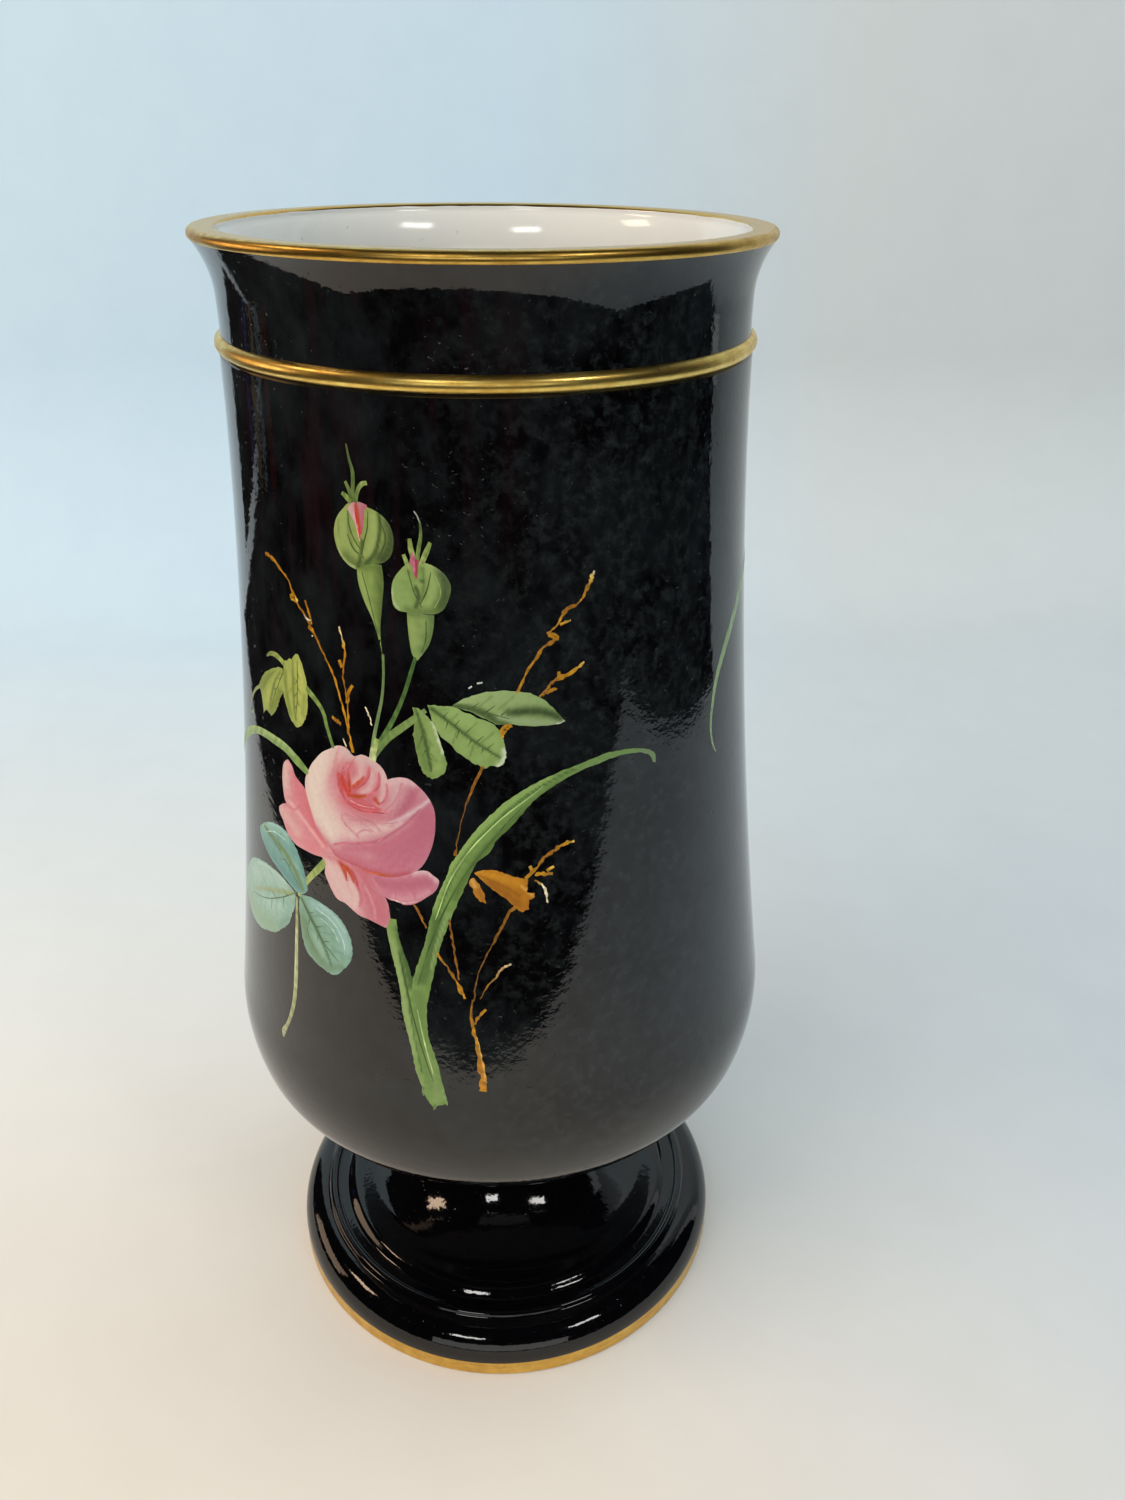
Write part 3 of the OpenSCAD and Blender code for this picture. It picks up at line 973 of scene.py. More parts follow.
# %% The head of the rose
rose_head = sheet_of_paint(
    "rose_head",
    """-37.5 197.2  -35 197.2  -33.2 195.8  -31 196.6  -28.5 196  -26.2 194.7  -24.8 192  -22.5 192.9
    -20 193  -17.6 191.5  -15.3 189  -14.2 186.5  -14 183  -14.4 179.5  -15.7 175.4  -17.4 172.4
    -18.6 171.2  -21.6 169.7  -24.5 168.7  -26.6 168.5  -30.3 168.7  -35 169.1  -38.7 169.9
    -40.3 171  -42.4 172.8  -43.7 174.1  -45 176.2  -46.6 179.5  -47.6 182  -48 184  -47.8 186.6
    -47 188.2  -46 190  -44.1 192.4  -42 194.5  -39.9 195.8""",
    lift=0.08,
    base=(204, 162, 160),
    washes=[
        wash((184, 118, 132), 0.85, 8.5, "-30 180.6  -25 183.5  -20 188"),
        wash((202, 172, 166), 0.80, 5, "-38.5 195  -33 195.6  -27 194.6"),
        wash((184, 102, 122), 0.92, (8, 12, 10, 6), "-15 184  -17.5 176.5  -24 171.5  -33 169.4"),
        wash((182, 98, 116), 0.85, (5, 4), "-33 170.5  -40 172.3  -44 175.5"),
        wash((178, 96, 116), 0.75, 5, "-16 183  -20 178  -27 174.6"),
        wash((186, 118, 132), 0.60, 3, "-27 177  -34 174.8  -38 174.2"),
        wash((212, 186, 178), 0.75, (2, 3, 4), "-22 182.4  -28 179.8  -34 177.6"),
        wash((184, 102, 120), 0.88, 2.2,
             "-15.4 185.2  -18.6 182  -22.4 178.6  -27 175.6  -32 174  -36.6 172.9"),
        wash((212, 196, 182), 0.92, (8, 10, 9, 6), "-42.5 193.5  -44.5 187  -43.5 180  -40 175.6"),
        wash((212, 192, 180), 0.70, 5, "-39.5 184  -38.5 178.5"),
        wash((198, 130, 136), 0.75, (2, 6, 7), "-38.6 190.6  -38.4 186  -35.5 183.2"),
        wash((184, 88, 98), 0.90, 5.5, "-36 191  -34.5 187.5  -31.5 186  -28 186.4"),
        wash((192, 104, 112), 0.75, 4.5, "-33.5 193  -31 190.4  -28.5 188.6"),
        wash((194, 116, 124), 0.70, 3.6, "-29.5 193.6  -27.6 190  -27.8 186.8"),
        wash((196, 108, 116), 0.80, 3.0, "-36 184.6  -31.5 183.7  -26 184.4"),
        wash((206, 164, 162), 0.85, 1.9, "-31.2 194.2  -31.6 191.4  -33 189.6"),
        wash((208, 168, 166), 0.80, 1.7, "-28.6 192.6  -29 189.6  -31 187.8"),
        wash((208, 172, 170), 0.75, 1.8, "-26 192.4  -25.8 188.8  -27 186"),
        fine((190, 52, 40), (1.8, 1.5, 0.9), "-36.8 190.2  -35.8 188.2  -34.7 186.2"),
        fine((178, 54, 40), (0.5, 1.0, 0.6), "-34.7 191.6  -34.5 189.4  -34.3 187.4"),
        fine((186, 66, 48), (0.5, 1.1, 0.9), "-30.6 191.6  -31.6 190.2  -33.4 188.4"),
        fine((178, 56, 34), (0.8, 1.2, 0.7), "-34.8 186.2  -32.6 186.5  -30.4 187.2"),
        fine((180, 62, 44), (1.2, 0.8), "-27.9 186.9  -27 186"),
        fine((192, 74, 84), (0.6, 1.2, 1.0, 0.5), "-35.8 185  -32.2 184.2  -29 184.8  -24.8 184.2"),
        fine((194, 82, 92), (0.5, 1.0, 0.5), "-34.4 186  -31.4 184.9  -27 184.3"),
        fine((186, 66, 76), (0.6, 1.1, 0.5), "-37.6 190.4  -36.9 187.6  -35.6 184.8"),
        fine((194, 92, 100), 0.6, "-33.3 194.4  -34.6 192.4  -35 190", 0.8),
        fine((192, 88, 98), (0.5, 0.8, 0.5), "-29.2 194.2  -29.8 191.6  -31.8 189  -33.4 187.4", 0.85),
        fine((192, 90, 100), (0.5, 0.8, 0.5), "-26.8 193  -27.2 190  -29 187.8  -29.8 187", 0.85),
        fine((190, 92, 106), (0.5, 0.8, 0.5), "-25 191  -25 188.4  -26.6 186", 0.7),
        wash((176, 92, 112), 0.85, (2.6, 2.2, 1.4), "-18.2 191.4  -19.6 188  -22 184.2  -24.6 181.8"),
        wash((178, 96, 116), 0.70, 3.6, "-15.6 187.6  -17.2 184.6"),
        wash((206, 180, 182), 0.85, (1.0, 1.2, 0.9), "-15.4 188.6  -18.2 186.1  -21.2 183.9  -25 181.6"),
        wash((206, 170, 172), 0.80, 1.8, "-24 191.4  -21 192.4  -18.4 191.8"),
        wash((204, 166, 170), 0.60, 1.8, "-22.4 190.6  -23.6 187  -25.8 184.4"),
        fine((186, 104, 120), 0.5, "-21.4 191.8  -22.8 188  -25.4 184.8", 0.55),
        fine((178, 94, 112), (0.5, 0.8, 0.7, 0.4),
             "-39.2 173  -36.3 174.2  -32 175.3  -27.9 176.8  -23.7 179.8  -19.5 183.7  -17.4 186.3", 0.85),
        *fines((186, 112, 124), 0.5, """-36 181.6  -32.6 181  -29 181.2  -27 179.6
            -36.9 180  -34.6 178.2  -32.4 176.6""", 0.7),
        fine((190, 120, 130), 0.5, "-32.6 177.4  -31.6 178.6  -29 179.2", 0.6),
        fine((190, 118, 128), 0.5, "-35 183.2  -31 182.2  -27 182.8", 0.6),
        fine((196, 132, 136), 0.6, "-37 196.6  -38.4 193  -38.4 190.4", 0.75),
        fine((196, 132, 138), 0.5, "-35 196  -36.4 193.6  -36.8 191", 0.7),
        wash((176, 74, 88), 0.85, 1.7,
             "-44.4 174.4  -41 171.3  -38 169.9  -33 169.1  -28 168.7  -24 169  -20.5 170.4"),
        wash((184, 80, 50), 0.7, 1.1, "-28.4 168.8  -24.6 168.9"),
        wash((196, 166, 162), 0.75, 2.2, "-35.5 195.8  -31.4 196  -27.4 195"),
    ],
    grain=0.36,
)
rose_lines = strokes(
    "rose_lines",
    [
        stroke([(192, 112, 126)], "-38.9 172.9 .3  -34.2 174.9 .45  -28.9 176.1 .4  -25.3 178.7 .3"),
        stroke([(194, 124, 132)], "-36.8 181.6 .3  -36 178.9 .32  -32.7 177.4 .3  -32.1 176.1 .25"),
        *hairs([(196, 130, 136)], """-35.3 180.5 .25  -31.6 180.3 .32  -27.9 178.9 .25
            -32.4 177.9 .25  -30.5 178.9 .3  -27.9 178.4 .25"""),
        stroke([(192, 116, 126)], "-35.8 183.2 .25  -32.6 181.9 .32  -26 181.5 .3  -22.6 182.5 .25"),
        stroke([(188, 78, 86)], "-37.4 190.4 .3  -37.6 187.9 .45  -36 185.3 .45  -34.2 184.2 .3"),
        stroke([(198, 104, 114)], "-34.7 194.2 .25  -36.6 191.4 .35  -37.4 189.2 .3"),
        stroke([(200, 110, 118)], "-32.6 195.8 .25  -34.7 193.2 .35  -35.7 190.2 .3"),
        stroke([(204, 142, 144)], "-38.3 190.8 .25  -37.7 194 .3  -36.8 195.6 .25"),
        stroke([(194, 92, 104)], "-26.8 193.6 .25  -26.6 191 .4  -27.9 188.7 .4  -30.3 187.5 .3"),
        stroke([(188, 80, 90)], "-28.9 194 .25  -29.2 192.1 .4  -31 189.6 .5  -32.6 188.4 .3"),
        stroke([(194, 106, 118)], "-24.7 190 .25  -25.3 187.4 .35  -26.8 186.1 .3"),
        stroke([(196, 122, 134)], "-21.8 189.5 .25  -22.6 186.3 .32  -25.3 184.2 .35  -28 183.3 .25"),
        stroke([(190, 70, 80)], "-35.5 184.3 .3  -32 183.4 .55  -28.4 183.7 .5  -25 184.2 .3"),
        stroke([(218, 158, 158)], "-34.4 185.1 .25  -31.6 184.6 .4  -27.9 184.8 .25"),
        stroke([(184, 64, 28)], "-34.8 189.8 .3  -34.6 187.8 .5  -34.2 186.2 .4"),
        stroke([(176, 74, 20)], "-34.2 186.2 .45  -32.4 186.4 .9  -30.5 187.1 .6"),
        stroke([(194, 80, 54)], "-31.8 190.6 .3  -33.7 188.7 .6"),
        stroke([(188, 74, 38)], "-27.7 186.3 .6  -26.8 185.8 .7"),
        stroke([(188, 68, 36)], "-36.5 189.6 .4  -36.1 188 .5"),
        stroke([(190, 84, 44)], "-31.6 169 .25  -28.9 168.8 .5  -24.7 169 .3"),
    ],
    lift=0.11,
)
lay_on("rose_head", [rose_head, rose_lines])

# %% [markdown]
# Three loose outer petals fall away to the left and below. They stand a little lower than the head, so
# that its margin lies over theirs, and their hearts are deeper pink where they tuck under it.

# %% The outer petals
left_petal = sheet_of_paint(
    "left_petal",
    """-54.2 188.7  -52.6 187.6  -51.6 185.8  -50 184.8  -48.3 183.9  -46 180  -44 175  -39.4 172
    -39 169.6  -43 168.5  -45 168.2  -48 168.1  -52.5 168.4  -54.7 169.5  -56 171  -57 172.5  -58.3 173.7
    -58.6 174.8  -57.4 176.2  -55.3 177.3  -56 178.3  -56.6 180.8  -56.7 184.5  -56 187.2""",
    lift=0.068,
    base=(202, 140, 144),
    washes=[
        wash((198, 110, 120), 0.85, 5, "-51 186  -50 181  -47 176  -44 173"),
        wash((204, 116, 124), 0.70, 4, "-54 171.5  -49.5 170.5  -45 169.5"),
        wash((198, 98, 108), 0.75, 1.8, "-48.5 183  -47 179  -45 175.5  -42 172"),
        wash((208, 176, 166), 0.85, 3.4, "-55 187  -55.4 182"),
        wash((206, 168, 160), 0.75, 3.2, "-57.4 174.8  -54 173  -51 171.4"),
        fine((220, 172, 166), 1.2, "-54 178.5  -50 176.5  -46 174  -42.5 171.5", 0.7),
        fine((190, 100, 112), 0.6, "-55.3 177.3  -52.5 177  -50 179", 0.6),
        fine((196, 108, 118), 0.5, "-54 186  -52.8 182  -51.5 178.8", 0.5),
    ],
)
low_petal = sheet_of_paint(
    "low_petal",
    """-43 168.5  -42 166.2  -42.2 165  -41.2 162.8  -40.1 161  -38.5 159.3  -36.3 159  -34.5 158
    -32.3 157  -30.3 156.8  -28.7 156.4  -26 155.7  -24.9 157.4  -25 160  -25.3 162  -26 163.5
    -28 167  -31 169.5  -38 170.5  -41.5 170""",
    lift=0.066,
    base=(204, 150, 152),
    washes=[
        wash((184, 100, 114), 0.90, 7, "-31 168  -29.5 162.5  -28 157.5"),
        wash((206, 174, 168), 0.92, (6, 7, 5), "-40.5 167.5  -38 163.5  -35.4 160.4"),
        fine((208, 178, 172), 1.6, "-34.6 164.4  -33.2 161.4  -33.6 159", 0.8),
        wash((184, 98, 112), 0.60, 3, "-26.8 163  -26 158.5"),
        fine((184, 92, 108), 0.8, "-34.8 167  -33 164.5  -32 162  -32.5 159.5", 0.7),
        fine((210, 160, 162), 0.7, "-31 165  -29 161  -28.4 157.5", 0.5),
        fine((172, 60, 34), (1.3, 1.1, 0.5), "-37.6 169  -36.6 167.4  -35.8 165.1"),
        fine((172, 60, 36), (1.3, 1.0, 0.5), "-35.6 168.2  -34.6 166.8  -34 165.2"),
        fine((172, 58, 34), 1.2, "-37.5 169  -35.4 168.2"),
        fine((176, 54, 60), (1.0, 0.8, 0.4), "-34.4 167.8  -33.2 165.8  -32.6 163.6"),
        wash((186, 98, 106), 0.6, 2.2, "-42 169.6  -37 169.2  -31 168.6"),
    ],
)
right_petal = sheet_of_paint(
    "right_petal",
    """-18.6 171.3  -17 171.7  -15.8 171.6  -14.8 170.8  -13.5 169.7  -13.7 168.2  -14.5 166.8
    -16.2 165.3  -18.5 163.5  -20.3 162.7  -22 162.6  -22.8 163.2  -24.2 163  -25.7 163.4
    -28 166  -30 168.8  -26 168.6  -22 169.5""",
    lift=0.066,
    base=(192, 118, 134),
    washes=[
        wash((178, 98, 116), 0.85, 3.2, "-28 167  -23 167  -18 168.5  -15 169.8"),
        wash((208, 174, 174), 0.90, 1.6, "-19 170.9  -15.8 171.2  -13.9 169.6"),
        wash((206, 148, 154), 0.70, 1.6, "-24 164  -20.3 164.3  -16 166.5"),
        *fines((182, 102, 118), 0.5, """-21.5 169  -19.5 166.5  -19 164.2
            -25 168  -23.5 165.5  -23.3 163.6""", 0.6),
    ],
)
petal_lines = strokes(
    "petal_lines",
    [
        stroke([(176, 62, 22)], "-37.4 168.8 .6  -36.2 167.4 .8  -35.8 165.5 .3"),
        stroke([(178, 66, 24)], "-36.3 168 .5  -35 167.1 .7  -33.9 165.4 .3"),
        stroke([(178, 62, 26)], "-37.4 168.8 .5  -35 168 .7"),
        stroke([(192, 76, 92)], "-33.3 164.8 .4  -32.5 163.6 .3"),
        stroke([(186, 96, 112)], "-31.6 167.6 .3  -29.4 164.6 .4  -28.2 161 .3"),
        stroke([(216, 180, 176)], "-24.6 163.4 .3  -21.6 163 .4  -18.4 163.9 .3"),
    ],
    lift=0.10,
)
lay_on("rose_outer_petals", [left_petal, low_petal, right_petal, petal_lines])

# %% [markdown]
# Two buds stand above the rose on thin stalks. Each is a round green calyx, lit from the left, that has
# just split to show a slip of pink, over a long hip that narrows into the stalk. The sepals end in small
# leafy tips that curl over the top.

# %% The upper bud
GREEN_DARK = (80, 98, 48)
GREEN_MID = (112, 132, 62)
GREEN_LIGHT = (140, 156, 86)
bud_ball = sheet_of_paint(
    "bud_ball",
    """-33 248.5  -35 246.3  -35.9 243.5  -35.4 240.6  -34.2 238.6  -32 237  -30.3 236.6  -28 237.4
    -26 238.2  -23.8 238.8  -22.2 240.2  -21.4 243  -21.6 245  -22.5 246.8  -24.8 248.5
    -27 249.2  -29.5 249.6  -31.8 249.5""",
    lift=0.07,
    base=(130, 146, 74),
    washes=[
        wash((142, 158, 90), 0.80, 6, "-33.5 247  -34 242.5  -32 239.5"),
        wash((58, 74, 36), 0.90, 3.4, "-22 246.5  -22 242  -24.4 239.4"),
        wash((78, 98, 44), 0.70, 2.6, "-33 239  -30.5 237.6  -27 238.6"),
        wash((146, 162, 92), 0.85, 2.2, "-26 247.6  -26.2 243  -27.6 240"),
        fine((66, 84, 38), 0.9, "-28.8 242.5  -29.3 239.5  -30 237.3"),
        fine((60, 78, 36), 0.9, "-24.5 248.3  -24.6 244  -26 240.3  -28 238.3"),
        fine((88, 106, 52), 0.6, "-31.5 248  -32 244  -31 241", 0.55),
        fine((172, 184, 122), 0.8, "-35 240  -33.4 238  -31 237", 0.7),
        fine((92, 110, 54), 0.5, "-34.4 246  -34.7 242.6", 0.5),
    ],
)
bud_slit = sheet_of_paint(
    "bud_slit",
    """-32.6 248.6  -30.5 249.9  -27.2 249.6  -27.6 246  -28.8 242  -30.5 245""",
    lift=0.078,
    base=(172, 120, 124),
    washes=[
        wash((190, 150, 150), 0.95, 2.4, "-31.6 248.8  -30 245.4"),
        wash((168, 90, 104), 0.85, 1.6, "-27.8 249.5  -28.6 244.6"),
        fine((176, 46, 24), (0.9, 1.2, 0.7), "-29.8 249.3  -29.5 246.5  -29.1 244"),
    ],
    grain=0.3,
)
hip = sheet_of_paint(
    "bud_hip",
    """-30.4 237.4  -30.2 234  -29 230.5  -27.2 227  -26 223.5  -25 219.5  -25.3 225  -24.6 230.5
    -24.1 235  -24.4 238.2  -27.5 238.2""",
    lift=0.062,
    base=(124, 146, 74),
    washes=[
        wash((78, 98, 44), 0.80, 2.6, "-24.6 238  -24.8 232  -25.3 225"),
        wash((146, 164, 92), 0.60, 1.6, "-29.4 236  -28.6 231  -26.6 226"),
        wash((84, 104, 48), 0.60, 1.6, "-30 237.2  -25 237.6"),
    ],
    grain=0.35,
)
upper_tips = strokes(
    "upper_tips",
    [
        stroke([(70, 90, 44), (98, 118, 54)], "-31.4 260.8 .4  -30.9 258 .6  -30.2 255.5 .9  -30.4 252.5 .9"
               " -30.6 250 1"),
        stroke([GREEN_MID, GREEN_MID], "-33.2 251.4 .8  -32 250.6 1.2  -31 249.8 1.2"),
        stroke([GREEN_MID, GREEN_DARK], "-32.2 253.7 .7  -31.3 252 .9  -30.9 250.5 .9"),
        stroke([GREEN_LIGHT, GREEN_DARK], "-26.9 253.9 .8  -28.2 253.5 1  -29.5 251.5 .9  -29.8 249.8 .8"),
    ],
    lift=0.07,
)
upper_stalk = strokes(
    "upper_stalk",
    [
        stroke([(92, 114, 62), (116, 138, 90)], "-24.9 219.8 .6  -25 215 .6  -25.6 210 .7  -26.6 206 .8"
               " -28 200 .9  -28.5 196.3 1.1"),
    ],
    lift=0.04,
)
upper_lines = strokes(
    "upper_lines",
    [
        stroke([(70, 90, 40)], "-32 248 .3  -31.7 245 .5  -30.4 242.2 .5  -29 240.6 .3"),
        stroke([(68, 88, 38)], "-27 248.4 .3  -27.4 245 .45  -28.5 241.8 .5  -29 239.8 .3"),
        stroke([(74, 94, 42)], "-32.4 243.4 .3  -31 240.8 .6  -28.6 239.2 .4"),
        stroke([(62, 80, 36)], "-24.6 247.6 .3  -23.2 243.6 .5  -25.2 239.4 .3"),
        stroke([(208, 150, 150)], "-30.6 248.6 .5  -30 245.6 .5  -29.3 242.4 .3"),
        stroke([(180, 48, 20)], "-30 248.2 .4  -29.6 245.6 .8  -29.2 243 .4"),
        stroke([(70, 90, 40)], "-29.2 236.4 .3  -27.4 230 .4  -26 224 .25"),
    ],
    lift=0.12,
)
lay_on("bud_upper", [bud_ball, bud_slit, hip, upper_tips, upper_stalk, upper_lines])

# %% [markdown]
# The lower bud is younger and smaller, and leans to the right. It is built of the same five parts, a
# ball, a slit, a hip, leafy tips and a stalk, with its own crisp lines over them.

# %% The lower bud
ball = sheet_of_paint(
    "low_bud_ball",
    """-18.5 239  -20.3 237.5  -21.9 235.3  -22.3 232  -21.8 230  -20.6 229.3  -19 229.2  -17.5 228.6
    -15 229.2  -13 229.2  -11 230.2  -9.8 232.3  -9.2 235  -10 236.8  -12 238.5  -14 239.3
    -16.5 239.5""",
    lift=0.07,
    base=(122, 146, 76),
    washes=[
        wash((132, 156, 88), 0.80, 4, "-20.6 236.5  -21 232.5  -19 230.5"),
        wash((148, 168, 96), 0.80, 2.4, "-13.5 238.5  -12.8 235  -14 231.5"),
        wash((62, 80, 40), 0.88, 3.0, "-10.8 237.5  -10.2 234  -11.5 231"),
        wash((86, 106, 52), 0.60, 1.6, "-19 229.8  -15 229.6  -12 230.2"),
        fine((60, 78, 36), 0.9, "-16.8 234.5  -16.3 232  -17 230.5"),
        fine((84, 104, 50), 0.6, "-15.2 238.5  -15 235  -15.8 232", 0.6),
        fine((72, 90, 46), 0.8, "-15.5 235.8  -15.1 235.8"),
        fine((172, 190, 150), 0.5, "-22 234  -21.8 231  -20.8 229.8", 0.8),
    ],
)
slit = sheet_of_paint(
    "low_bud_slit",
    """-18 239.5  -17.3 241.2  -16.3 240.5  -15.6 238  -16.8 234.8  -17.8 237.5""",
    lift=0.078,
    base=(158, 80, 92),
    washes=[
        wash((172, 108, 122), 0.8, 0.9, "-17.4 240.5  -17.4 236.8"),
        fine((140, 48, 58), 0.6, "-16.4 240  -16.8 236"),
    ],
    grain=0.3,
)
low_hip = sheet_of_paint(
    "low_hip",
    """-19 229.3  -18.9 226  -18.6 223  -17.8 220  -17 219.3  -16 220.5  -14.5 222.5  -13.3 226  -13 229""",
    lift=0.062,
    base=(124, 146, 78),
    washes=[
        wash((88, 112, 58), 0.75, 2.2, "-13.4 229  -14 225  -15.6 221.5"),
        wash((144, 162, 92), 0.60, 1.6, "-17.8 228  -17.8 223"),
        wash((80, 100, 50), 0.6, 1.3, "-18.6 229  -13.4 229"),
        fine((200, 204, 190), 0.5, "-16.3 219.2  -15.9 220.3", 0.8),
    ],
    grain=0.35,
)
low_tips = strokes(
    "low_tips",
    [
        stroke([GREEN_MID, GREEN_LIGHT], "-17.8 244 .8  -17.6 242 1.2  -17.2 240.5 1.2"),
        stroke([GREEN_LIGHT, GREEN_MID], "-19.3 240.8 .8  -18.5 238.8 1  -18 237 .8"),
        stroke([GREEN_MID, GREEN_LIGHT], "-13.3 243.5 .8  -14.2 241.6 1.2  -15.5 239 1.1"),
        stroke([GREEN_DARK, GREEN_MID], "-15.4 247.5 .4  -15.3 245 .7  -15.8 242.5 .9  -16.3 240 .9"),
        stroke([(150, 156, 150), (120, 130, 110)], "-16.6 249.3 .3  -16 248.6 .3  -15.5 247.4 .3"),
    ],
    lift=0.07,
)
low_stalk = strokes(
    "low_stalk",
    [
        stroke([(62, 92, 40), (88, 118, 58)], "-17.4 220 .8  -18.6 216.5 .9  -20.2 212 .9  -22.2 207.5 1"
               " -23.8 204.5 1.1  -26.5 200 1.2  -28.3 196.8 1.2"),
    ],
    lift=0.04,
)
lower_lines = strokes(
    "lower_lines",
    [
        *hairs([(74, 94, 42)], """-18.5 237.8 .3  -17 233 .5  -15.6 230.4 .3
            -13.4 237.6 .3  -14.4 234 .5  -15.9 231.2 .4"""),
        stroke([(182, 92, 116)], "-17.3 241.4 .4  -17 239 .8  -16.8 236.4 .3"),
        stroke([(142, 162, 92)], "-12.4 237 .3  -11.4 233.6 .4  -12.8 230.6 .25"),
        stroke([(74, 94, 42)], "-14.8 227.8 .3  -15 224 .4  -16 221 .25"),
    ],
    lift=0.12,
)
lay_on("bud_lower", [ball, slit, low_hip, low_tips, low_stalk, lower_lines])

# %% [markdown]
# Leaves are cut out and painted as the petals are: a mid green, a darker fold beside the midrib, a pale
# glaze where the light falls, and thin veins. The painter let the brush leave each margin a little
# ragged, and touched a few tips with white.

# %% Young leaves at the upper left
young_right = sheet_of_paint(
    "young_right",
    """-50.3 214.5  -48.9 214.9  -47.3 212.4  -46.5 209.9  -46.2 207  -46.4 203.3  -47.2 200.8
    -48.7 198.7  -50.3 197.8  -52.4 198.9  -54.1 201.6  -55.1 204.3  -55.3 208  -54.7 210.3
    -54.4 211.6  -52.6 212.8  -51.4 213.2""",
    lift=0.06,
    base=(150, 160, 78),
    washes=[
        wash((178, 182, 92), 0.80, 3.0, "-48.8 212  -48 206  -48.6 201"),
        wash((168, 174, 88), 0.60, 2.2, "-52.6 209  -52.6 203"),
        fine((108, 118, 54), (0.6, 1.1, 0.6), "-50.8 213  -51 208  -51 203.5  -50.5 199.5"),
        wash((112, 122, 56), 0.75, 1.4, "-54 209.5  -53.6 204.5  -52.4 200.4"),
        wash((118, 128, 58), 0.60, 1.5, "-47.3 206  -48 201.5"),
        *fines((122, 132, 62), 0.5, """-51 210  -49.2 207.8
            -51 206  -49 203.6
            -51.1 207  -53.4 204.6""", 0.6),
    ],
    ragged=0.10,
)
young_left = sheet_of_paint(
    "young_left",
    """-55.1 210.1  -57.8 209.5  -61.6 207.6  -65.1 205.1  -67.6 201.6  -66.2 200.3  -65.5 198.2
    -65.3 195.8  -64.5 196.8  -63 197.4  -61.2 196.6  -59.5 198.2  -57.8 200.3  -56.8 202.4
    -55.5 204.1""",
    lift=0.058,
    base=(140, 154, 76),
    washes=[
        wash((170, 178, 92), 0.80, 3.2, "-57 207.5  -60 204  -63.5 199.5"),
        wash((112, 124, 58), 0.70, 2.0, "-56.5 204  -59 200.5  -61.6 197.6"),
        wash((116, 128, 60), 0.60, 1.6, "-61 207  -65.5 203  -66.8 201"),
        fine((98, 110, 52), (0.5, 1.0, 0.6), "-56 209  -58.5 206  -60.5 202  -61.5 199"),
        fine((104, 116, 54), 0.6, "-58 208.6  -62 205.5  -65 202", 0.7),
        fine((112, 122, 58), 0.5, "-59.5 204.5  -57.2 202", 0.6),
    ],
    grain=0.45,
    ragged=0.12,
)
young_curls = strokes(
    "young_curls",
    [
        stroke([(104, 118, 58), (150, 162, 82)], "-62.2 210.8 .5  -60 212 1.0  -57 212.2 1.4  -54.3 211.3 1.3"
               " -51.8 210.4 .6"),
        stroke([(140, 150, 92), (110, 122, 86), (130, 138, 100)], "-67.2 201.8 .8  -70 200 .8  -72.5 197.5 .7"
               " -74 195 .6  -74.5 193.2 .7  -73.3 193.1 .6  -72 194 .5"),
        stroke([(150, 160, 84), (112, 136, 66)], "-48.6 213.4 .7  -48.3 212.6 .8"),
        stroke([(120, 140, 68), (112, 136, 66), (92, 120, 60)], "-46.6 208 1.5  -43.5 206 1.3  -41.5 204 1.1"
               " -40.5 201 1.0  -39 197 .9  -38.4 195.6 .8"),
    ],
    lift=0.05,
)
YOUNG_RIB = [(84, 98, 38), (98, 112, 46)]
YOUNG_VEIN = [(92, 106, 42)]
young_veins = strokes(
    "young_veins",
    hairs(YOUNG_RIB, "-49.2 213.4 .4  -49.5 208 .5  -50 203 .45  -50.7 199.4 .25")
    + hairs(YOUNG_VEIN, """-49.4 210.6 .5  -48.4 209.4 .2
        -49.5 207.4 .5  -48.4 206 .2
        -49.9 204 .5  -49 202.8 .2
        -49.5 209 .5  -50.6 207.6 .2
        -49.7 206 .5  -51 204.6 .2
        -50.2 202.8 .5  -51.2 201.6 .2""")
    + hairs(YOUNG_RIB, "-54.8 209.4 .4  -57.2 205.6 .5  -59.4 202 .4  -61 198.6 .25")
    + hairs(YOUNG_VEIN, """-56.2 207.2 .5  -57.8 207 .2
        -58 204.4 .5  -59.6 204 .2
        -57.4 205.2 .5  -57 203.6 .2"""),
    lift=0.088,
)
lay_on("leaves_young", [young_right, young_left, young_curls, young_veins])

# %% [markdown]
# The full-grown leaves hang from one stalk to the right of the buds. The topmost is folded along its
# midrib, with a dark crease in the fold and a pale near edge. Their side veins are short and taper off.

# %% Green leaves at the right of the buds
small_leaf = sheet_of_paint(
    "small_leaf",
    """-18.4 209.1  -17.3 209.1  -15.4 207.7  -13.8 205.9  -12.7 202.7  -11.8 199.8  -11.3 196.1
    -12.7 194.3  -14.3 193.6  -16.1 194.5  -17.2 196.4  -17.9 199.5  -18.4 203.2  -18.1 205.9""",
    lift=0.06,
    base=(124, 148, 78),
    washes=[
        wash((96, 122, 60), 0.70, 2.4, "-17.6 205  -17 200  -15.8 196"),
        wash((140, 164, 92), 0.70, 2.2, "-14.8 205.5  -13.6 200  -13 196"),
        fine((56, 80, 34), (0.6, 1.0, 0.6), "-17.8 208.8  -16.2 204  -15.2 199  -14.6 195.5"),
        fine((206, 216, 186), 0.6, "-14 206.3  -12.8 202.5  -11.9 199.5", 0.8),
        *fines((92, 116, 56), 0.45, """-16 203  -14 201
            -15.5 200  -13.2 197.6""", 0.6),
        fine((84, 108, 52), 0.45, "-16.6 202.6  -17.6 200", 0.6),
    ],
    grain=0.42,
    ragged=0.10,
)
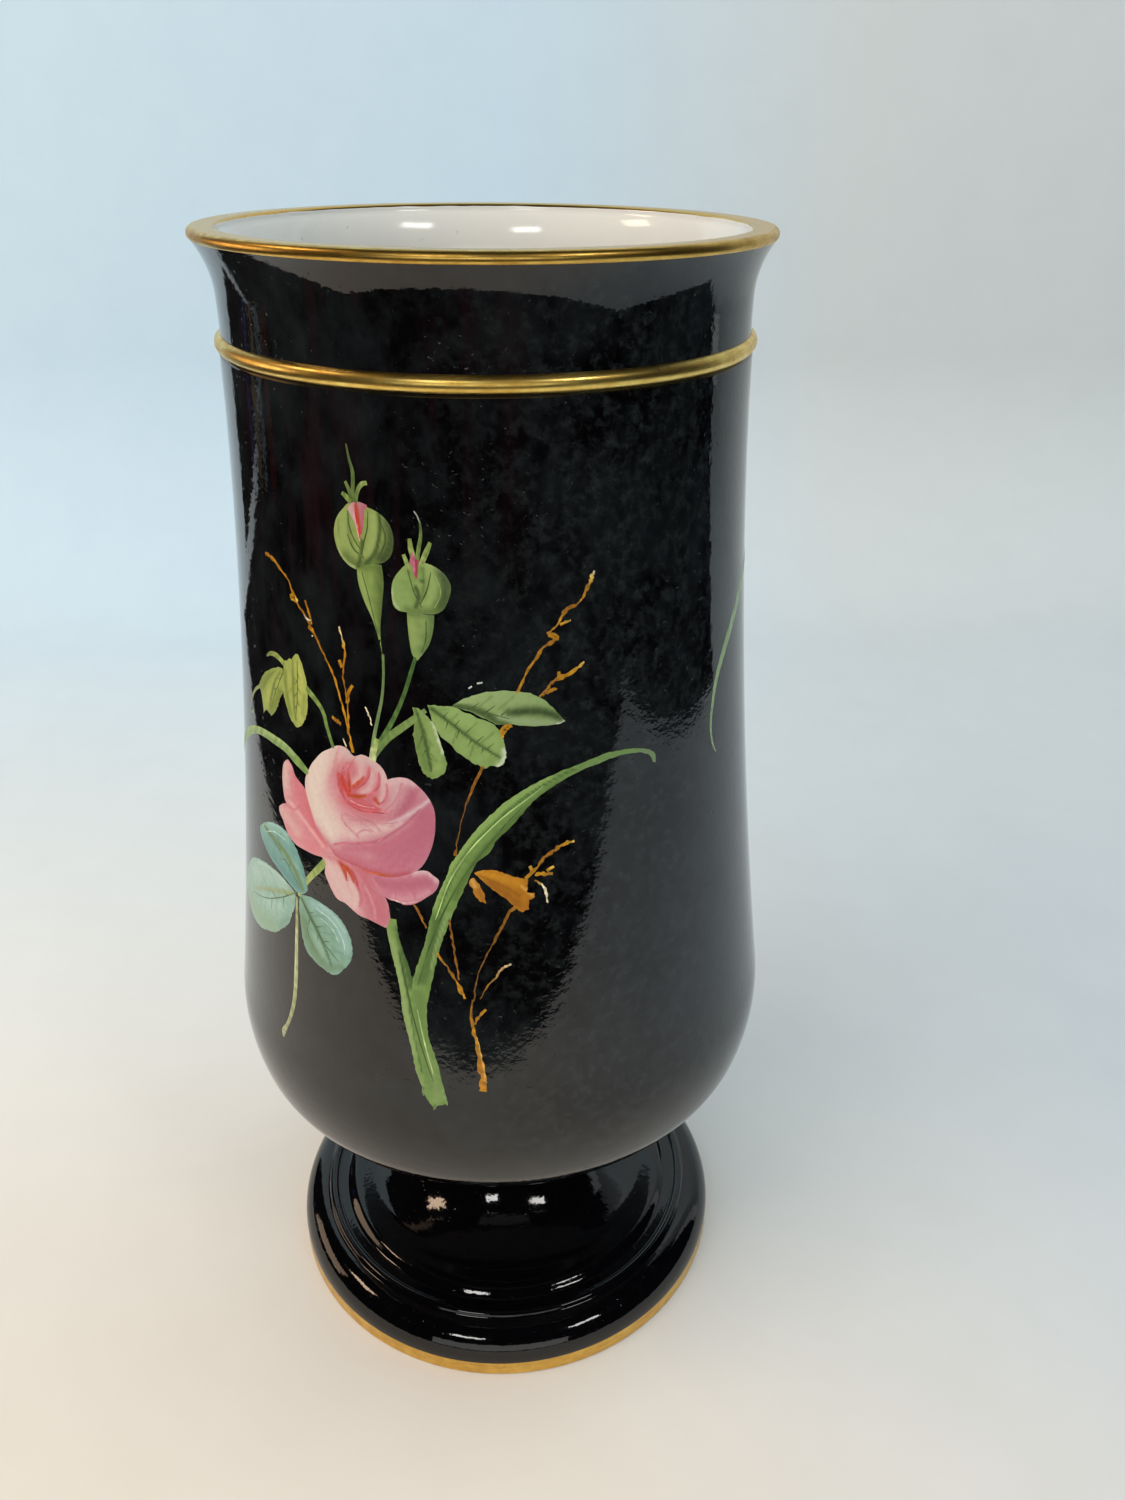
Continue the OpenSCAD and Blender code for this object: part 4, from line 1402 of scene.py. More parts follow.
broad_leaf = sheet_of_paint(
    "broad_leaf",
    """-15 210  -12 210  -9.7 210  -7.5 209.1  -4.3 207.7  -1.1 206.4  0.3 205  1.3 202.3  1.7 200
    1.2 197.7  -0.4 196.8  -1.3 197.2  -2.5 196.6  -5 197.5  -7.5 199.1  -9.3 200.5  -10.4 201.8
    -12.2 203.2  -13.6 205.5  -14.5 207.7""",
    lift=0.062,
    base=(130, 156, 84),
    washes=[
        wash((138, 162, 94), 0.60, 1.8, "-13 205  -8.6 201.6  -3.4 198"),
        wash((144, 170, 98), 0.75, 3.4, "-10 208.5  -4 205.4  -0.6 202"),
        wash((112, 138, 70), 0.60, 1.6, "-14.4 209  -11 209.4"),
        fine((58, 82, 34), (0.9, 0.8, 0.5), "-14.2 209.3  -9.5 206  -4.5 202.2  0.3 199"),
        *fines((96, 122, 58), 0.45, """-10.4 206.6  -8.6 208.4
            -7 204.2  -4.4 206.6
            -4 201.8  -1 204.4""", 0.6),
        *fines((86, 110, 52), 0.45, """-8.6 205.2  -9.6 202.2
            -5 202.4  -6 199.4""", 0.6),
        wash((214, 222, 198), 0.85, 1.2, "1.3 200.5  1.2 198.4  0 197.1"),
    ],
    grain=0.45,
    ragged=0.10,
)
folded_leaf = sheet_of_paint(
    "folded_leaf",
    """-9.7 210  -7.5 211.6  -3.8 212.9  0.3 213.5  3.7 213.4  7.1 212.7  10.3 210.9  12.5 208.6
    14.8 205.8  13.2 205.4  8.9 205.5  4.8 205.7  2.5 206.1  0.3 206.2  -2.5 207.4  -6 209""",
    lift=0.06,
    base=(134, 158, 94),
    washes=[
        wash((146, 168, 106), 0.80, 4.0, "-6 211.4  0 211.8  6 211.2  11 208.8"),
        fine((62, 84, 38), (0.8, 1.8, 1.6), "-9.5 210.2  -5 209.6  -2.5 208.5  0 207  2 206.2"),
        wash((56, 76, 36), 0.95, 2.0, "2.6 208.4  7 208.9  10.5 208.3  13.6 206.5"),
        wash((146, 166, 118), 0.90, 1.6, "0.5 207.9  4 207  8 206.3  13 205.7"),
        *fines((108, 132, 70), 0.5, """-4 210  -1 212.4
            0.4 209.6  3.6 212.2""", 0.6),
        fine((216, 222, 204), 0.6, "13 205.5  14.7 205.8", 0.8),
    ],
    grain=0.45,
    ragged=0.10,
)
leaf_marks = strokes(
    "leaf_marks",
    [
        stroke([(96, 122, 62), (118, 142, 76)], "-28.3 196.6 1.5  -24.5 201.5 1.7  -21.5 204 1.7"
               " -18.2 206.6 1.5  -15.5 208.8 1.0"),
        *hairs([(200, 208, 196), (190, 200, 184)], """-6 214 .35  -5.3 214.5 .35
            -4.2 215.1 .35  -3 215.3 .35"""),
    ],
    lift=0.05,
)
GREEN_VEIN = [(66, 90, 38), (80, 106, 50)]
leaf_veins = strokes(
    "leaf_veins",
    hairs([(132, 154, 80), (186, 188, 140)], "-27 201 1.5  -27.8 198.4 1.9  -28.4 195.8 1.7")
    + hairs(GREEN_VEIN, """-14 209.2 .4  -9.5 206 .55  -4.5 202.2 .5  0.3 199 .3
        -11.6 207.6 .5  -10.6 208.8 .2
        -9.2 205.8 .5  -8.1 207.2 .2
        -7 204.2 .5  -5.6 205.6 .2
        -4.6 202.4 .5  -3 203.8 .2
        -2.4 200.9 .5  -0.9 202.1 .2
        -10.6 206.8 .5  -11.2 205 .2
        -8.2 205 .5  -8.9 203 .2
        -5.6 203 .5  -6.4 201.4 .2
        -3 201.2 .5  -3.7 199.8 .2
        -17.6 208.4 .3  -16.2 204 .5  -15.3 199 .45  -14.8 195.4 .25
        -16.3 204.4 .5  -15.2 203.4 .2
        -15.8 201.4 .5  -14.6 200.4 .2
        -15.3 198.6 .5  -14.2 197.8 .2
        -16.4 203 .5  -17 201.6 .2
        -15.8 200 .5  -16.4 198.6 .2
        -9 210.1 .4  -4.6 209.4 .5  0 208.2 .4  2.6 207.4 .3
        -5.6 209.8 .5  -3.8 211 .2
        -2.4 209 .5  -0.4 210.4 .2
        0.8 208.2 .5  2.8 209.8 .2
        4.4 208.8 .5  6 209.8 .2
        8.4 208.9 .5  9.4 209.4 .2"""),
    lift=0.088,
)
lay_on("leaves_green", [small_leaf, broad_leaf, folded_leaf, leaf_marks, leaf_veins])

# %% [markdown]
# Behind the roses run dry twigs in burnt ochre, drawn with the tip of a fine brush: each stroke swells
# and thins, breaks into little knots and spurs, and ends in a touch of pale straw.

# %% Dry twigs
OCHRE = (176, 122, 0)
OCHRE_DEEP = (140, 88, 0)
OCHRE_PALE = (214, 172, 80)
STRAW = (222, 206, 170)
left_twig = strokes(
    "left_twig",
    [
        stroke([OCHRE_DEEP, OCHRE, OCHRE_DEEP, OCHRE, OCHRE], "-60 234.2 .8  -57 234 1.0  -54 232.5 .9"
               " -51 230.5 .8  -49.3 227.5 1.0  -47.5 225.6 .7  -45.5 223.8 .8  -44 222 .9  -42 219.3 .8"
               " -40 216 .8  -38 213 .8  -36.7 209.5 .8  -35.3 205 .8  -34.3 201 .9  -33.3 196.6 .7"),
        stroke([OCHRE, OCHRE_PALE], "-50.5 227.1 1.2  -49.3 227.3 1.5  -48.5 226.6 1.0"),
        stroke([OCHRE_DEEP, OCHRE], "-45.6 227.6 .5  -44.6 225.3 .7  -43.9 222.8 .6"),
        stroke([OCHRE, OCHRE], "-44.9 222.1 .9  -43.5 221.5 1.1"),
        *hairs([STRAW, STRAW], """-46 224.3 .35  -45 223.6 .35  -44 223.7 .3
            -43.9 220.4 .4  -43.7 220.2 .4"""),
        stroke([STRAW, OCHRE, OCHRE_DEEP, OCHRE], "-35.8 224 .4  -35.3 222.2 .6  -34.8 220.5 .8  -34.6 218 .6"
               " -35 215.8 .5  -35.3 213 .5  -34.7 210.5 .6  -34.6 207.5 .5"),
        stroke([OCHRE, OCHRE], "-36.2 216.7 .8  -35.4 215.3 1.0"),
        stroke([OCHRE, OCHRE_DEEP, OCHRE], "-32.8 211.8 .8  -33.8 210.3 .9  -34.3 207.5 .6  -34.4 204.5 .9"
               " -34.3 202 .7"),
        stroke([OCHRE, OCHRE_DEEP], "-38.8 203.4 .8  -37.5 202.8 1.0  -36.3 202.3 .6"),
        *hairs([STRAW, STRAW], """-29.8 207.6 .3  -28.8 206 .4  -28.2 203.8 .3
            -35.9 199.2 .3  -35 197.5 .3"""),
    ],
    lift=0.034,
    dry=True,
)
right_sprig = strokes(
    "right_sprig",
    [
        stroke([OCHRE, OCHRE_DEEP, OCHRE], "4.2 212.6 .7  5.5 215.3 .6  7 218 .6  8.8 220.3 .9  10 222 .9"
               " 12.5 223.6 1.3  13 224.5 1.2"),
        stroke([OCHRE_DEEP, OCHRE, OCHRE_DEEP, OCHRE, STRAW], "11 225 .5  13 226.3 .5  14.5 228.5 .8"
               " 15.5 229.7 1.1  17.5 230.3 .5  19 231.5 .5  20 233.5 .9  21 235 1.1  21.8 236.8 .5"),
        stroke([OCHRE, OCHRE_PALE], "13.9 226.6 .6  15.2 227 .6  16.3 227.3 .4"),
        stroke([OCHRE, OCHRE], "11.3 224.8 1.0  12.6 224.4 1.3  13.6 223.8 1.0"),
        stroke([OCHRE, OCHRE_DEEP, OCHRE, OCHRE_PALE], "9.2 211.8 .5  10.8 213.4 .6  12.4 214.9 .9"
               " 14 215.5 1.2  16 216 .8  18 217.3 .9  19.3 218.2 .4"),
        stroke([OCHRE, OCHRE], "13.5 216.8 .7  13.6 215.6 1.0"),
        stroke([OCHRE_DEEP, OCHRE], "9.8 212 .6  11.2 212.8 .8  13 213.1 .5"),
        stroke([OCHRE, OCHRE], "0.8 203.3 .8  1.3 205 1.5  3 206 1.0"),
        stroke([OCHRE_DEEP, (132, 82, 22), (110, 70, 22), OCHRE_DEEP], "-3.3 197 .9  -4.5 194.5 .8  -6 191 .6"
               " -7.5 187 .5  -8.5 183 .3  -9.2 179.5 .4  -9.8 176 .8"),
    ],
    lift=0.034,
    dry=True,
)
lay_on("twigs_upper", [left_twig, right_sprig])

# %% [markdown]
# One dried bell flower hangs among the lower twigs. It is the only part of them broad enough to need
# a sheet of paint, with a smaller folded lobe beside it.

# %% Ochre bell flower and the lower twigs
bell = sheet_of_paint(
    "bell",
    """-5.8 172  -3 172.8  0.1 172.2  2.9 171  5.7 170.2  5.8 168.5  5.4 167  7.2 166.5  7.2 165.5
    6 165  5.9 162.8  4.2 162.3  2.8 163.7  0.4 166  -2.3 168.5  -4.5 170.6""",
    lift=0.05,
    base=(176, 110, 0),
    washes=[
        wash((206, 142, 24), 0.70, 2.2, "-4.4 171.8  0 170.8  4 169.4"),
        wash((146, 88, 6), 0.75, 1.8, "-2.6 169.6  0.8 167  3.8 164"),
        fine((134, 80, 4), 0.5, "-4.6 171.4  -0.4 169.4  4 166.2", 0.7),
        fine((226, 184, 104), 0.6, "4.4 168.6  6.8 166", 0.7),
    ],
    ragged=0.10,
)
hanging = sheet_of_paint(
    "hanging",
    """-6.7 170.3  -6.2 168  -5.2 165.8  -3.3 164.6  -3.9 167.5  -5.1 169.8  -6 170.9""",
    lift=0.045,
    base=(178, 114, 20),
    washes=[
        wash((216, 176, 104), 0.7, 1.0, "-6.3 170.4  -5.6 168.6"),
        wash((140, 86, 6), 0.6, 0.9, "-4.8 168  -3.8 165.4"),
    ],
    grain=0.35,
    ragged=0.10,
)
low_twigs = strokes(
    "low_twigs",
    [
        stroke([OCHRE, OCHRE_DEEP, OCHRE, OCHRE_PALE], "5.3 170.3 .8  6.5 171.5 .9  8 173 .7  9.5 175 .8"
               " 11.5 176.3 1.2  14 177.6 1.4  16.3 178 .6"),
        stroke([OCHRE, OCHRE], "7.5 171.3 .8  9.5 171 1.0  11.3 170.9 .7"),
        stroke([OCHRE, OCHRE_PALE], "10 171.7 .8  11.6 172.6 .6"),
        stroke([OCHRE_PALE, OCHRE], "6.3 173.3 .7  6.8 172 .9"),
        stroke([OCHRE, STRAW, STRAW], "7.3 169.7 .5  9 168.3 .6  9.8 166 .6  10 163.9 .4"),
        stroke([OCHRE, OCHRE_DEEP, (112, 74, 20)], "3.6 163.6 .8  1.8 162.6 .8  0.8 160.4 .7  -1 156.5 .6"
               " -3.5 151.5 .5  -5.2 147 .4  -6 143 .4  -6.5 139.6 .4"),
        stroke([STRAW, (184, 150, 98), OCHRE_DEEP], "1.8 149 .5  0.3 148.5 .6  -1.5 146 .5  -3.8 143 .4"
               " -5 140.3 .3"),
        stroke([OCHRE, OCHRE_DEEP], "-3.8 137.5 .6  -5 136 .8  -6.3 133.5 .6"),
        stroke([OCHRE_DEEP, OCHRE, (176, 112, 20), OCHRE], "-6.6 140 .4  -7 136 .6  -6.6 132 .9  -5.8 127 1.1"
               " -5.2 122 1.4  -4.7 118 1.8  -4.8 115.3 1.7"),
        stroke([(210, 160, 70), (206, 152, 60)], "-5.9 130 .3  -4.9 124 .4  -4.2 118.4 .5"),
        stroke([OCHRE_DEEP, OCHRE_DEEP], "-19.3 163 .5  -17.5 160 .6  -16.5 157.5 .4"),
        stroke([(122, 80, 20), OCHRE_DEEP], "-11.5 161 .6  -11 157 .7  -10.5 153 .5  -10 149 .5"
               " -9.5 145 .4"),
        stroke([OCHRE, OCHRE_DEEP, OCHRE, OCHRE], "-14.3 151.5 .8  -12.5 148.8 .6  -10.5 145.5 .8  -9 142 1.0"
               " -8.3 140.2 .6"),
    ],
    lift=0.036,
    dry=True,
)
lay_on("bell_flower_and_twigs", [bell, hanging, low_twigs])

# %% [markdown]
# A long grass blade rises from the foot of the rose stem, swings right and turns over at its tip. Both
# are broad enough to be cut out as a leaf is, with a pale side, a dark crease, and crisp ribs that
# follow their length.

# %% The long blade and the rose stem
long_blade = sheet_of_paint(
    "long_blade_sheet",
    """37.3 191.8  36.9 194.2  34.8 195.5  31.6 196.5  28.5 197  25 197.1  21 196.5  15.8 195.3
    10.5 193.7  5.5 191.4  0.8 188.3  -3.1 184.5  -6.5 180.6  -8.8 177  -9.8 175.5  -10.8 173.9
    -11.8 170.8  -13 168  -14.5 164  -15.8 159  -16.9 153.7  -18.3 149  -19.7 144  -20.6 138
    -20.2 130  -18.6 121  -17.8 115  -17.1 112.3  -15.5 110  -12.9 111  -12.7 113  -13.3 116
    -14.1 120.5  -15.2 125  -16.4 129.2  -16.6 132  -16.7 136.5  -16 141  -15 146  -14 151
    -12.9 155  -11.4 159.4  -9.9 163.4  -8 168  -6.4 171.9  -5.1 174.6  -2.3 176.9  -0.6 180
    1.5 182  2.8 183.3  5.5 186.5  8.5 189.4  12.5 191.9  17 193.9  22.5 195.1  27.3 195.8
    31.2 195.6  33.9 194.9  36 193.5  36.6 192""",
    lift=0.052,
    base=(112, 142, 72),
    washes=[
        wash((80, 106, 46), 0.85, (1.4, 1.9, 1.8, 1.2), "-10 165.6  -6 173.8  -0.4 180.8  6 186.8  13 192"),
        wash((138, 168, 88), 0.90, (2.6, 3.0, 2.6, 1.8),
             "-14.8 164  -10.6 174  -4 182.8  3.4 189.4  11 193.6"),
        fine((66, 96, 40), (0.5, 0.8, 0.6, 0.4),
             "-14.6 156  -12 167  -8 175.6  -1.6 183.4  6.4 190.2  17 194.9", 0.9),
        fine((150, 176, 104), 0.5, "-13.4 170  -8.6 178.4  -1.6 186", 0.7),
        wash((112, 140, 80), 0.60, 1.6, "18 195.2  26 196.4  33 195.6"),
        wash((116, 136, 102), 0.80, 1.6, "33 195.4  36.4 193.6  37 192"),
        wash((76, 104, 48), 0.90, 2.6, "-17.6 144  -15.6 151  -14.2 160"),
        fine((146, 168, 108), 0.6, "-15.6 147  -14 154.5  -11.6 161.5", 0.7),
        wash((96, 124, 60), 0.75, 3.0, "-18.4 140  -17.8 128  -15.6 116"),
        wash((126, 146, 90), 0.70, 1.5, "-16.6 124  -15 116  -14.4 112"),
    ],
    grain=0.5,
    ragged=0.09,
)
rose_stem = sheet_of_paint(
    "rose_stem_sheet",
    """-18 115.3  -19.2 118.8  -20.1 123.8  -21.1 129  -22.3 135  -22.8 140.7  -24 146.5  -25 151.5
    -25.8 155.8  -25.4 158.4  -23.4 158.4  -23.1 155.6  -21.8 150.5  -20.3 145.8  -19.5 141
    -19 134  -17.6 126  -16 119  -15 113.6  -15.4 110.6  -16.8 112.2""",
    lift=0.048,
    base=(122, 148, 80),
    washes=[
        wash((62, 90, 42), 0.90, 2.0, "-22.9 156  -21.4 149  -20 142"),
        wash((140, 162, 98), 0.70, 1.4, "-24.4 153  -22.6 143  -21.2 134  -19.6 124"),
        wash((92, 118, 62), 0.65, 1.6, "-19.4 138  -18.2 128  -16.4 118"),
        fine((60, 90, 38), 0.6, "-22.8 150  -21 140  -19.6 130  -17.8 119", 0.85),
    ],
    grain=0.5,
    ragged=0.09,
)
blade_end = strokes(
    "blade_end",
    [
        stroke([(114, 138, 80), (92, 116, 62)], "-17.2 117 .8  -17.7 113.6 .6  -17.6 112.6 .3"),
        stroke([(124, 146, 90), (104, 128, 70)], "-13.6 115 .8  -12.6 111.6 .5  -12.5 110.8 .3"),
        stroke([(110, 134, 76), (90, 112, 60)], "-15.4 113 .9  -15.2 109.8 .7  -15.5 109 .3"),
    ],
    lift=0.045,
)
blade_lines = strokes(
    "blade_lines",
    [
        stroke([(70, 98, 40)], "-18.6 142.6 .3  -15 155.5 .5  -9 169.3 .55  -0.2 181.8 .5  5 187.6 .25"),
        stroke([(160, 186, 110)], "-14.4 160 .3  -10 172 .5  -1.6 183 .5  9.6 191.8 .3"),
        stroke([(66, 92, 40)], "-23 150.7 .3  -21.2 141 .5  -19.6 133 .5  -16.6 121 .4  -15.4 117 .25"),
        stroke([(160, 184, 112)], "-18.8 136 .3  -17.2 127 .5  -15.4 119 .35"),
    ],
    lift=0.10,
)
lay_on("long_blade_and_stem", [long_blade, rose_stem, blade_end, blade_lines])

# %% [markdown]
# Thinner blades arch out of the spray and round the sides of the vase, where they are seen edge on. A
# single stroke each is enough, and one pale line follows the crest of the left one.

# %% The blades that arch round the sides
side_blades = strokes(
    "side_blades_flat",
    [
        stroke([(112, 140, 70), (124, 150, 82), (128, 152, 86), (104, 130, 66), (96, 120, 60)],
               "-46.6 187.8 1.5  -50.5 189.6 2.5  -55 191.2 2.3  -60 191.4 2.3  -65 191 2.0  -70 189.8 1.9"
               " -75 187.6 2.1  -80 184.4 2.5  -86 180 2.5  -93 173 2.0  -99 164 .5"),
        stroke([(150, 172, 120), (134, 160, 104), (126, 154, 96), (120, 148, 90)],
               "59.4 186.3 .3  58.3 188.2 .6  57.4 191 .7  57.2 194.5 .9  58.3 199 1.2  59.8 203.5 1.6"
               " 63 208 2.1  67.5 212.5 2.5  72.5 216.5 2.6  78 220.5 2.8  84 223.5 2.8  92 225 2.7"
               " 101 224.6 2.4  110 221.5 2.2  119 216 2.0  127 209 1.8  133 201.5 1.6"),
        stroke([(150, 172, 110), (142, 164, 100)], "-52 190.6 .4  -60 191.9 .5  -70 190.2 .4  -79 185.4 .5"),
    ],
    lift=0.05,
)
lay_on("side_blades", [side_blades])

# %% [markdown]
# Below the rose lie three leaves in turquoise, a colour that painters of the time set against the pink.
# They share a yellow-green stalk, and a thin stem trails down from them.

# %% Turquoise leaves
leaf_up = sheet_of_paint(
    "leaf_up",
    """-69.5 164.5  -66 167.5  -63 169  -59 170.1  -55.5 169.9  -52.8 168  -50.5 165.5  -48.9 162.3
    -47.8 160  -48.5 157  -50.5 155.7  -53 156  -56 157  -59 158  -62 158.8  -64.5 159.9
    -67 161.3  -69 163""",
    lift=0.058,
    base=(106, 150, 140),
    washes=[
        wash((138, 176, 160), 0.75, 3.0, "-67 166.4  -61 168.6  -55 168.4"),
        wash((84, 132, 128), 0.75, 2.6, "-66 161.4  -58 159  -51.5 157.4"),
        wash((150, 190, 184), 0.50, 2.0, "-57 163.6  -52 162.4"),
        fine((104, 120, 66), (0.8, 1.8, 1.4), "-66.5 166.4  -61.5 165.6  -56 164  -52 161  -49.6 157.6"),
        *fines((80, 128, 128), 0.5, """-60 165.4  -57.6 168.6
            -60.4 165.2  -61.8 160.6
            -55.4 163.6  -56.6 159""", 0.55),
        fine((176, 206, 198), 0.6, "-64 168.2  -59 169.6  -55.4 169.2", 0.6),
    ],
    grain=0.45,
    ragged=0.12,
)
leaf_left = sheet_of_paint(
    "leaf_left",
    """-52.5 155.2  -55 156.2  -60 157.1  -66 156.5  -71 154.8  -76 152  -80 148  -84 142  -85 139
    -80 137  -74 135.5  -69 136.2  -64.5 138  -60.5 140  -58 142.5  -55 145.5  -53.5 149
    -52.4 153""",
    lift=0.056,
    base=(134, 168, 152),
    washes=[
        wash((158, 184, 170), 0.80, 4.6, "-57 155  -65 154  -74 149.5"),
        wash((168, 196, 180), 0.55, 4.0, "-59 148.5  -66 145.5"),
        wash((128, 156, 120), 0.75, 5.0, "-62 141  -70 139  -79 139.5"),
        wash((104, 140, 118), 0.60, 2.0, "-55 147  -59 142.6"),
        fine((142, 152, 100), (1.3, 1.1, 0.6), "-53.5 154.6  -58 152.8  -63 150.6  -69 147.5  -75 144"),
        *fines((104, 142, 132), 0.5, """-59 152.4  -63.4 155.6
            -64.6 149.8  -70.4 153.4
            -58.6 152.4  -61 146
            -63.6 150.2  -67 143""", 0.55),
        fine((190, 212, 196), 0.6, "-56 156.2  -64 156.2  -71 153.8", 0.6),
    ],
    grain=0.5,
    ragged=0.12,
)
leaf_down = sheet_of_paint(
    "leaf_down",
    """-50.5 155.6  -47 156.5  -43 156.3  -39 155.2  -36.5 153  -35 150  -34.5 147  -35.2 144
    -37.2 141  -39.5 138.8  -42.5 138.8  -45.5 139.7  -48.2 141.3  -49.8 144.5  -50.5 149
    -51 153""",
    lift=0.06,
    base=(118, 154, 134),
    washes=[
        wash((140, 176, 168), 0.85, 3.4, "-46 155.2  -39.6 153.6  -36.2 147.6"),
        wash((98, 124, 88), 0.75, 3.4, "-49.4 149.5  -47.5 144.5  -43.4 141"),
        wash((150, 182, 160), 0.50, 2.0, "-45.6 146.6  -43 143"),
        wash((96, 124, 96), 0.60, 1.8, "-42 139.6  -37.6 141.6"),
        fine((66, 92, 52), (0.9, 1.2, 0.6), "-50 154.8  -46.5 151  -43 146  -40.5 141"),
        *fines((96, 130, 116), 0.5, """-47 151.6  -42.4 153.4
            -44.4 148.4  -39 149.8
            -42.4 145  -37.4 145.4""", 0.55),
        fine((92, 120, 90), 0.5, "-47 151.2  -48.6 146.4", 0.55),
        fine((172, 200, 186), 0.6, "-44 155.8  -39.4 154.4  -36.4 151.4", 0.6),
    ],
    grain=0.45,
    ragged=0.12,
)
leaf_stems = strokes(
    "leaf_stems",
    [
        stroke([(150, 154, 104), (146, 152, 104), (152, 156, 118)], "-51.8 154.4 .8  -51.8 148 1.0"
               " -52 140 1.2  -52.2 132 1.4  -52.8 125 1.3  -54 120 1.1  -55.5 116 1.0  -56.8 113.3 1.6"
               " -57 111.5 .6"),
        stroke([(128, 146, 76), (150, 162, 92), (146, 160, 100)], "-42 167.6 1.8  -45 164 1.7  -47.5 161 1.5"
               " -49.5 158 1.4  -51 155.2 1.1"),
        stroke([(182, 186, 140), (170, 176, 130)], "-52.1 146 .3  -52.4 136 .4  -52.6 128 .4"),
    ],
    lift=0.045,
)
UPPER_VEIN = [(84, 112, 74)]
LOWER_VEIN = [(72, 98, 62)]
turquoise_veins = strokes(
    "turquoise_veins",
    hairs(UPPER_VEIN, """-50.6 157.4 .4  -55 161.4 .5  -60.5 164.4 .45  -66.5 166.2 .3
        -54.4 160.9 .5  -54.2 163.4 .2
        -58.4 163.4 .5  -58.6 165.4 .2
        -56.2 162.2 .5  -58.6 161.4 .2
        -51.8 155.6 .4  -58 151.2 .5  -66 146.6 .4  -75 143 .3
        -55.4 153 .5  -57.6 154 .2
        -60.2 149.8 .5  -63 150.6 .2
        -57 151.8 .5  -57 149 .2
        -62.6 148.4 .5  -62.8 145.4 .2""")
    + hairs(LOWER_VEIN, """-50 154.6 .4  -46.6 150.4 .55  -42.4 146 .45  -38.4 142.8 .3
        -47.8 151.8 .5  -45.8 153 .2
        -45.4 149.2 .5  -43 150.4 .2
        -42.8 146.4 .5  -40.8 147.4 .2
        -47 151 .5  -47.6 148.8 .2""")
    + hairs([(176, 204, 194)], "-45 154.4 .3  -40 152.8 .5  -37 148.8 .4  -36.6 145.4 .25")
    + hairs([(168, 198, 188)], "-43.6 152.4 .3  -39.8 150.6 .4  -38.2 147.8 .25")
    + hairs([(90, 116, 74)], "-48.4 150 .3  -47.6 146 .5  -44.8 142.4 .3")
    + hairs([(174, 202, 192)], "-65.6 165.2 .3  -61 167.4 .45  -55.6 167.6 .3")
    + hairs(LOWER_VEIN, "-44.4 148 .5  -44.8 145.6 .2"),
    lift=0.088,
)
lay_on("leaves_turquoise", [leaf_up, leaf_left, leaf_down, leaf_stems, turquoise_veins])

# %% [markdown]
# The back carries a smaller companion spray, as such vases do, so that it can stand in the open. Nothing
# new is drawn: flat copies of the front pieces, each with its own mesh, are turned over, moved round to
# the back, and wrapped there. The grass blade that comes round the right side already ends among them.

# %% The companion spray on the back
HALF_ROUND = pi * SHEET_RADIUS


def companion(name, source, across, up, size=1.0, tilt=0.0):
    """A mirrored copy of a flat piece, with its own mesh, laid on the back of the vase."""
    copy = new_piece(name, flat_meshes[source].copy())
    flat = coordinates(copy.data)
    middle = (flat[:, :2].min(axis=0) + flat[:, :2].max(axis=0)) / 2
    side = -(flat[:, 0] - middle[0]) * size
    rise = (flat[:, 1] - middle[1]) * size
    turn = radians(tilt)
    flat[:, 0] = side * cos(turn) - rise * sin(turn) + HALF_ROUND + across * MM
    flat[:, 1] = side * sin(turn) + rise * cos(turn) + up * MM
    copy.data.vertices.foreach_set("co", flat.ravel())
    copy.data.update()
    wrap(copy)
    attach(copy, "root")
    return copy


companion("back_bud", "bud_upper", 0, 212, 1.05, 4)
companion("back_small_bud", "bud_lower", -16, 200, 0.95, 10)
companion("back_leaves", "leaves_green", -20, 172, 1.0, -8)
companion("back_young_leaves", "leaves_young", 18, 176, 0.95, 14)
companion("back_turquoise", "leaves_turquoise", 12, 140, 0.8, -6)
companion("back_twigs", "bell_flower_and_twigs", -22, 138, 0.85, 6)
print("companion spray laid on")

# %% [markdown]
# The studio. The vase stands on one wide sheet of pale paper that sweeps up behind it, so no horizon
# line shows from the front. The sheet is a strip drawn in the plane of Y and Z and extruded along X. The
# light of a room is painted into its tint: painted warm light in front, painted cool blue light behind,
# and a painted shadow, greyer, to the right.

# %% Floor and backdrop
FLOOR_HALF = 1.5
FLOOR_FRONT = -1.3
FOLD_START = 0.46
FOLD_RADIUS = 0.16
BACKDROP_TOP = 1.7
PAPER_GAP = 0.05 * MM
FOLD_STEPS = 24
SHADOW_RIGHT_FROM = 0.02
SHADOW_RIGHT_FULL = 0.26
BACK_FROM = -0.1
BACK_FULL = 0.62


